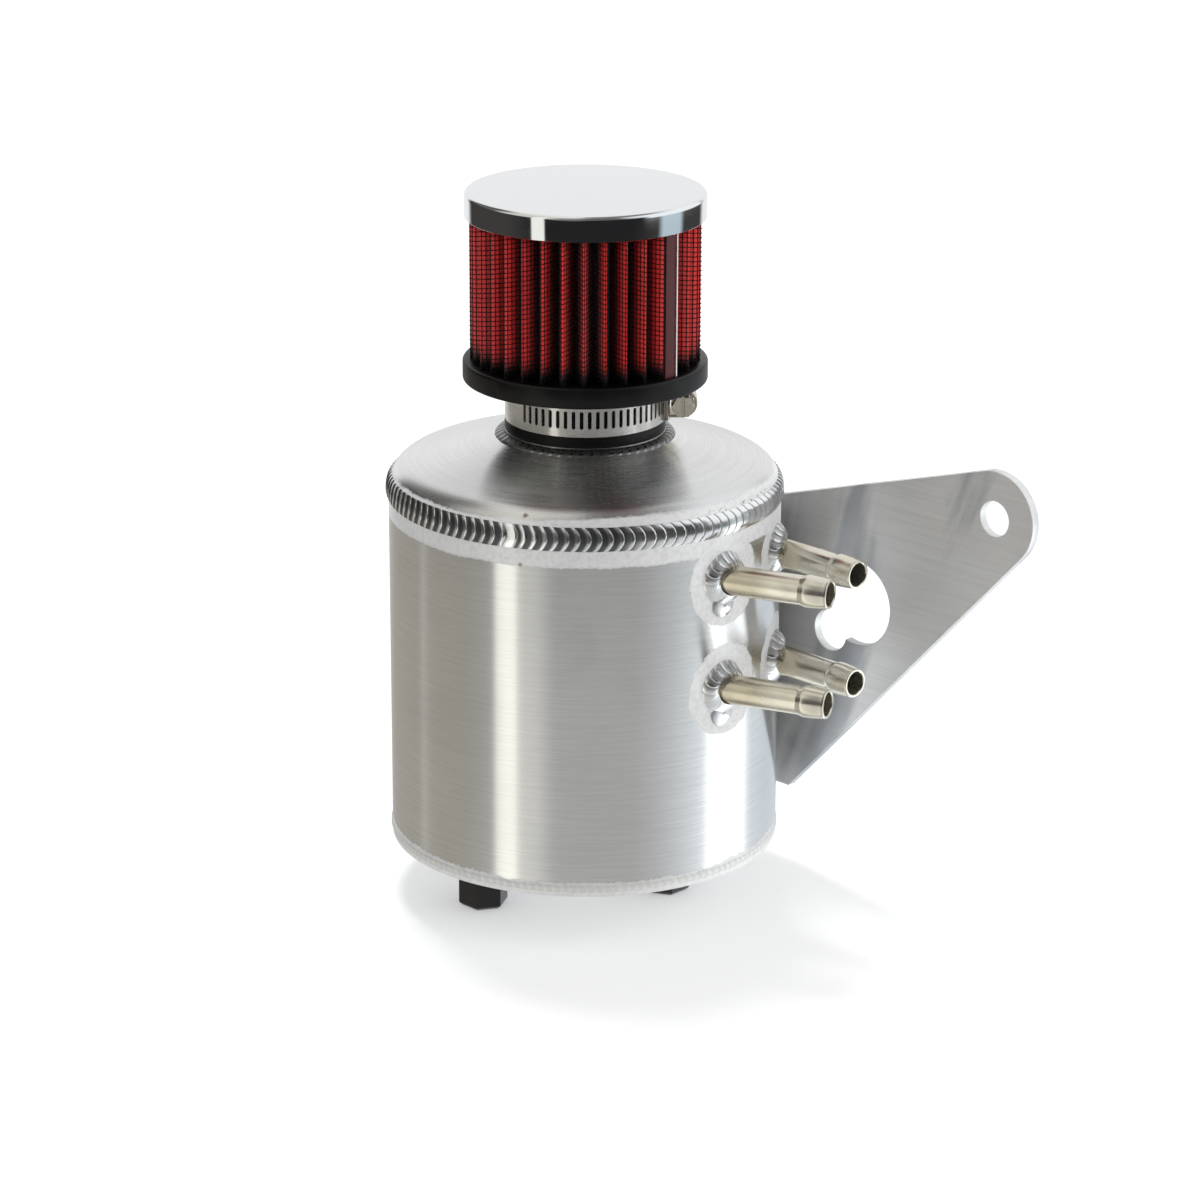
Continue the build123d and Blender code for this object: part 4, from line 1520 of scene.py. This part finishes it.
def curved_plate(name, angles, inner, outer, low, high, steps=8):
    """A closed plate that follows part of a circle round the filter's axis."""
    work = bmesh.new()
    rings = []
    for step in range(steps + 1):
        angle = angles[0] + (angles[1] - angles[0]) * step / steps
        corners = ((inner, low), (outer, low), (outer, high), (inner, high))
        rings.append([work.verts.new((r * cos(angle), r * sin(angle), z)) for r, z in corners])
    for first, second in zip(rings, rings[1:]):
        for i in range(4):
            j = (i + 1) % 4
            work.faces.new((first[i], first[j], second[j], second[i]))
    work.faces.new(rings[0])
    work.faces.new(rings[-1])
    bmesh.ops.recalc_face_normals(work, faces=work.faces)
    mesh = bpy.data.meshes.new(name)
    work.to_mesh(mesh)
    work.free()
    smooth(mesh)
    return bpy.data.objects.new(name, mesh)


lap = curved_plate(
    "cotton_lap", LAP_ANGLES, media_radius - 1.0 * MM, media_radius + 0.15 * MM,
    media_low.z + 0.1 * MM, media_high.z - 0.1 * MM,
)
finish_piece(lap, lap_material, [])
clip = curved_plate(
    "media_clip", CLIP_ANGLES, media_radius - 0.6 * MM, media_radius + 0.55 * MM,
    media_low.z + 0.1 * MM, media_high.z - 0.1 * MM,
)
finish_piece(clip, band_material, [])
print("lap and clip placed")

# %% [markdown]
# The clamp's strip is stamped with slots that the worm bites into. Flat, a slotted strip is
# easy: an outline, a row of rounded slots, and the area between them filled. So the recipe
# draws it flat, gives it thickness and only then wraps it round the sleeve.

# %% Recipe: slotted strip
SLOT_LENGTH = 5.8 * MM
SLOT_WIDTH = 1.15 * MM
SLOT_STEP = radians(5.71)


def make_strip_recipe():
    tree, given, result = new_group(
        "slotted_strip", "GeometryNodeTree",
        [
            ("Length", NUMBER, 0.16), ("Width", NUMBER, 0.011), ("Radius", NUMBER, 0.0255),
            ("Thickness", NUMBER, 0.00065), ("Start", NUMBER, 0.0), ("Height", NUMBER, 0.0),
            ("Slots", COUNT, 22), ("First slot", NUMBER, 0.01),
            ("Slot pitch", NUMBER, 0.0025), ("Slot length", NUMBER, 0.0058),
            ("Slot width", NUMBER, 0.0011), ("Metal", METAL, None),
        ],
        [("Strip", SHAPE)],
    )
    length = Term(tree, given["Length"])
    outline = node(
        tree, "GeometryNodeCurvePrimitiveQuadrilateral",
        {"Width": given["Length"], "Height": given["Width"]},
    )
    fine = node(
        tree, "GeometryNodeResampleCurve", {"Curve": outline.outputs[0], "Length": 0.8 * MM},
        mode="LENGTH",
    )
    shifted = node(
        tree, "GeometryNodeTransform",
        {"Geometry": fine.outputs[0], "Translation": join(tree, length * 0.5, 0.0, 0.0)},
    )
    slot_box = node(
        tree, "GeometryNodeCurvePrimitiveQuadrilateral",
        {"Width": given["Slot width"], "Height": given["Slot length"]},
    )
    slot_end = Term(tree, given["Slot width"]) * 0.49
    slot = node(
        tree, "GeometryNodeFilletCurve",
        {"Curve": slot_box.outputs[0], "Count": 5, "Radius": slot_end}, mode="POLY",
    )
    row = node(
        tree, "GeometryNodeMeshLine",
        {"Count": given["Slots"], "Start Location": join(tree, given["First slot"], 0.0, 0.0),
         "Offset": join(tree, given["Slot pitch"], 0.0, 0.0)},
        mode="OFFSET",
    )
    slots = scatter(tree, row.outputs[0], slot.outputs[0])
    loose = node(tree, "GeometryNodeRealizeInstances", {"Geometry": slots})
    drawn = together(tree, shifted.outputs[0], loose.outputs[0])
    flat = node(tree, "GeometryNodeFillCurve", {"Curve": drawn}, mode="TRIANGLES")
    raised = node(
        tree, "GeometryNodeExtrudeMesh",
        {"Mesh": flat.outputs[0], "Offset": UP, "Offset Scale": given["Thickness"],
         "Individual": False},
        mode="FACES",
    )
    underside = node(tree, "GeometryNodeFlipFaces", {"Mesh": flat.outputs[0]})
    closed = together(tree, raised.outputs[0], underside.outputs[0])
    merged = node(
        tree, "GeometryNodeMergeByDistance", {"Geometry": closed, "Distance": 0.005 * MM}
    )
    x, y, z = split(tree, here(tree))
    angle = Term(tree, given["Start"]) - x / given["Radius"]
    radius = Term(tree, given["Radius"]) + z
    place = join(
        tree, angle.math("COSINE") * radius, angle.math("SINE") * radius, y + given["Height"]
    )
    finish_recipe(tree, given, result, put(tree, merged.outputs[0], place))
    return tree


strip_recipe = make_strip_recipe()
print("strip recipe:", len(strip_recipe.nodes), "nodes")

# %% [markdown]
# The strip's lower end goes once round; its free end runs on under the housing and past it.

# %% Clamp band and its free end
FIRST_SLOT_ANGLE = radians(27.0)
CLAMP_ANGLE = radians(45.0)
TAIL_START = radians(79.0)
TAIL_BEYOND = radians(13.4)
TAIL_GAP = 0.05 * MM
BAND_THICKNESS = 0.65 * MM
band_outer = band_high.x
band_radius = band_outer - BAND_THICKNESS
tail_radius = band_outer + TAIL_GAP


def lay_strip(name, stands_for, radius, start, length, first_slot, slots):
    """Wrap a slotted strip round the sleeve, from the start angle on."""
    strip = grow(
        strip_recipe, name, Length=length, Width=band_high.z - band_low.z, Radius=radius,
        Thickness=BAND_THICKNESS, Start=start, Height=(band_low.z + band_high.z) / 2,
        Slots=slots, Metal=band_material,
        **{"First slot": first_slot * radius, "Slot pitch": SLOT_STEP * radius,
           "Slot length": SLOT_LENGTH, "Slot width": SLOT_WIDTH},
    )
    smooth(strip.data, EASED_ANGLE)
    return finish_piece(strip, band_material, [stands_for])


strip = lay_strip(
    "clamp_strip", "clamp_band", band_radius, CLAMP_ANGLE, tau * band_radius * 0.9999,
    first_slot=CLAMP_ANGLE - FIRST_SLOT_ANGLE, slots=22,
)
tail_length = tail_radius * (TAIL_START - (CLAMP_ANGLE - TAIL_BEYOND))
lay_strip(
    "clamp_strip_end", "clamp_band_tail", tail_radius, TAIL_START, tail_length,
    first_slot=SLOT_STEP, slots=4,
)
fair_copy("worm_housing", "clamp_housing", housing_material, bevel=0.2 * MM)
fair_copy("worm", "clamp_screw", screw_material, body="worm", bevel=0.6 * MM)
print("clamp strip:", len(strip.data.polygons), "faces")

# %% [markdown]
# The can stands on a pale sheet. A sheet lit to white would need lamps that burn out the metal,
# so the lamps stay plain and the sheet adds a little light of its own, which only the camera
# and the mirrors see. Its shadow then stays soft and pale, as on the photographer's table.

# %% Floor
FLOOR_HALF = 6.0
FLOOR_GLOW = 0.33
CORNERS = ((-1, -1), (1, -1), (1, 1), (-1, 1))
floor_mesh = bpy.data.meshes.new("floor")
floor_mesh.from_pydata(
    [(x * FLOOR_HALF, y * FLOOR_HALF, floor_z) for x, y in CORNERS], [], [(0, 1, 2, 3)]
)
floor = bpy.data.objects.new("floor", floor_mesh)
scene.collection.objects.link(floor)


def seen_directly(tree):
    """1 for light that reaches the camera straight, through glass or by way of a mirror."""
    ray = node(tree, "ShaderNodeLightPath")
    seen = Term(tree, ray.outputs["Is Camera Ray"]) + ray.outputs["Is Glossy Ray"]
    return (seen + ray.outputs["Is Transmission Ray"]).math("MINIMUM", 1.0)


def make_floor_material():
    material, tree, shader, place = new_material(
        "pale_table", Base_Color=rgb(0.80, 0.80, 0.80), Roughness=0.9,
        Specular_IOR_Level=0.0, Emission_Color=rgb(0.97, 0.98, 1.0),
    )
    feed(tree, shader.inputs["Emission Strength"], seen_directly(tree) * FLOOR_GLOW)
    return material


floor.visible_glossy = False
floor_mesh.materials.append(make_floor_material())
print("floor at", round(floor_z / MM, 2), "mm")

# %% [markdown]
# Light comes from a high lamp behind the can on the left, which throws the shadow forward, from
# an even sky, and from a white card at the right that lights the dull pieces on that side. The
# sky is white to the camera and to mirrors.

# %% Lamp and sky
SUN_STRENGTH = 1.15
SUN_SPREAD = radians(13)
SUN_FROM = Vector((-0.368, 0.198, 1.0))
CARD_POWER = 2.1
CARD_SIZE = (0.45, 0.60)
CARD_AWAY = 0.70
CARD_ANGLE = from_front(radians(76))
CARD_HEIGHT = 0.22
CARD_AIM = Vector((0, 0, 0.1))
SKY_LEVEL = 0.68


def add_lamp(name, kind, power, come_from):
    """A lamp that no mirror shows, whose light comes from the given direction."""
    data = bpy.data.lights.new(name, kind)
    data.energy = power
    lamp = bpy.data.objects.new(name, data)
    lamp.rotation_mode = "QUATERNION"
    lamp.rotation_quaternion = come_from.to_track_quat("Z", "Y")
    lamp.visible_glossy = False
    scene.collection.objects.link(lamp)
    return lamp


sun = add_lamp("high_lamp", "SUN", SUN_STRENGTH, SUN_FROM)
sun.data.angle = SUN_SPREAD
card_from = Vector((cos(CARD_ANGLE), sin(CARD_ANGLE), 0.0)) * CARD_AWAY
card_place = card_from + Vector((0.0, 0.0, CARD_HEIGHT))
card_light = add_lamp("right_card_light", "AREA", CARD_POWER, card_place - CARD_AIM)
card_light.location = card_place
card_light.data.shape = "RECTANGLE"
card_light.data.size, card_light.data.size_y = CARD_SIZE
world = bpy.data.worlds.new("studio")
scene.world = world
world.use_nodes = True
sky = world.node_tree
background = sky.nodes["Background"]
background.inputs["Color"].default_value = rgb(1.0, 1.0, 1.0)
sky_strength = seen_directly(sky) * (1.0 - SKY_LEVEL) + SKY_LEVEL
feed(sky, background.inputs["Strength"], sky_strength)
print("sky level", SKY_LEVEL, "lamp", SUN_STRENGTH)

# %% [markdown]
# Bare metal shows its surroundings, so the photographer builds them: dark cloth in front, a
# tall white card at the left and another at the right, white paper behind and a little below.
# Here they are one ball round the can that only mirrors see. Each of its points glows as much
# as the card, the cloth or the table there, worked out from its direction.

# %% Cards and cloth round the can
SHELL_RADIUS = 0.55
SHELL_COLUMNS = 480
SHELL_ROWS = 90
SHELL_CENTRE = 0.10
HIGHEST = 89.9


def step_up(value, start, width):
    """0 up to start, then a smooth climb to 1 over the width."""
    share = min(1.0, max(0.0, (value - start) / width))
    return share * share * (3 - 2 * share)


def window(value, low, high, soft):
    """1 between low and high, with soft flanks."""
    return step_up(value, low - soft / 2, soft) * (1 - step_up(value, high - soft / 2, soft))


def glow(azimuth, elevation):
    """Light from a direction: azimuth from the camera's side, positive to the right."""
    colour = [0.018, 0.018, 0.019]

    def lay(amount, red, green, blue):
        for index, value in enumerate((red, green, blue)):
            colour[index] += (value - colour[index]) * amount

    table = 1 - step_up(elevation, -12, 9)
    upper = step_up(elevation, 22, 14)
    zenith = step_up(elevation, 54, 12)
    lay(step_up(abs(azimuth), 40, 40), 0.050, 0.048, 0.046)
    lay(window(azimuth, -32, -4, 16) * step_up(elevation, 6, 10), 0.10, 0.10, 0.10)
    lay(upper, 0.25, 0.25, 0.25)
    lay(upper * window(azimuth, -92, -30, 20), 0.68, 0.67, 0.62)
    lay(upper * window(azimuth, -4, 44, 24), 0.13, 0.125, 0.12)
    lay(upper * window(azimuth, -136, -96, 10), 0.12, 0.115, 0.11)
    lay(upper * window(azimuth, 42, 150, 24), 0.80, 0.83, 0.86)
    lay(zenith, 0.22, 0.215, 0.21)
    lay(zenith * (1 - step_up(azimuth, -30, 45)), 0.82, 0.81, 0.76)
    behind = step_up(abs(azimuth), 132, 12)
    lay(behind, 0.90, 0.905, 0.91)
    lay(table, 0.54, 0.54, 0.535)
    lay(table * window(azimuth, -160, -58, 30), 0.43, 0.41, 0.365)
    lay(table * window(azimuth, -46, -22, 14), 0.80, 0.79, 0.75)
    lay(table * step_up(azimuth, 26, 50), 0.86, 0.92, 0.96)
    lay(table * step_up(azimuth, 112, 20), 0.74, 0.80, 0.86)
    lay(table * step_up(abs(azimuth), 150, 25), 0.70, 0.72, 0.74)
    lay(table * window(azimuth, -105, -101.5, 1.5), 0.66, 0.64, 0.60)
    left_card = window(azimuth, -50, -37.3, 1.5)
    lay(left_card * (1 - step_up(elevation, 44, 12)), 0.95, 0.95, 0.88)
    lay(left_card * table, 1.32, 1.32, 1.22)
    lay(window(azimuth, 73, 100, 8) * window(elevation, -14, 10, 8), 0.50, 0.60, 0.66)
    lay(window(azimuth, 58, 136, 12) * window(elevation, 5, 52, 8), 0.95, 0.98, 1.0)
    lay(window(azimuth, 73, 105, 6) * table, 1.8, 1.85, 1.9)
    return colour


def ball_faces():
    faces = []
    for row in range(SHELL_ROWS):
        low_row = row * SHELL_COLUMNS
        high_row = low_row + SHELL_COLUMNS
        for column in range(SHELL_COLUMNS):
            after = (column + 1) % SHELL_COLUMNS
            faces.append((low_row + column, low_row + after, high_row + after, high_row + column))
    return faces


def make_shell():
    points = []
    colours = []
    for row in range(SHELL_ROWS + 1):
        elevation = HIGHEST * (2 * row / SHELL_ROWS - 1)
        flat = SHELL_RADIUS * cos(radians(elevation))
        height = SHELL_CENTRE + SHELL_RADIUS * sin(radians(elevation))
        for column in range(SHELL_COLUMNS):
            azimuth = -180 + 360 * column / SHELL_COLUMNS
            angle = from_front(radians(azimuth))
            points.append((flat * cos(angle), flat * sin(angle), height))
            colours.append(glow(azimuth, elevation))
    mesh = bpy.data.meshes.new("cards")
    mesh.from_pydata(points, [], ball_faces())
    stored = mesh.attributes.new("glow", "FLOAT_VECTOR", "POINT")
    for item, colour in zip(stored.data, colours):
        item.vector = colour
    mesh.shade_smooth()
    shell = bpy.data.objects.new("cards", mesh)
    scene.collection.objects.link(shell)
    shell.visible_camera = False
    shell.visible_diffuse = False
    shell.visible_shadow = False
    shell.visible_transmission = False
    shell.visible_volume_scatter = False
    return shell


def make_shell_material():
    material = bpy.data.materials.new("card_glow")
    material.use_nodes = True
    tree = material.node_tree
    tree.nodes.clear()
    colour = node(tree, "ShaderNodeAttribute", attribute_name="glow").outputs["Color"]
    glowing = node(tree, "ShaderNodeEmission", {"Color": colour, "Strength": 1.0})
    output = tree.nodes.new("ShaderNodeOutputMaterial")
    tree.links.new(glowing.outputs[0], output.inputs["Surface"])
    material.cycles.emission_sampling = "NONE"
    return material


shell = make_shell()
shell.data.materials.append(make_shell_material())
print("cards:", len(shell.data.polygons), "faces")

# %% [markdown]
# Last, the colour is shown as rendered.

# %% Colour as rendered
scene.view_settings.view_transform = "Standard"
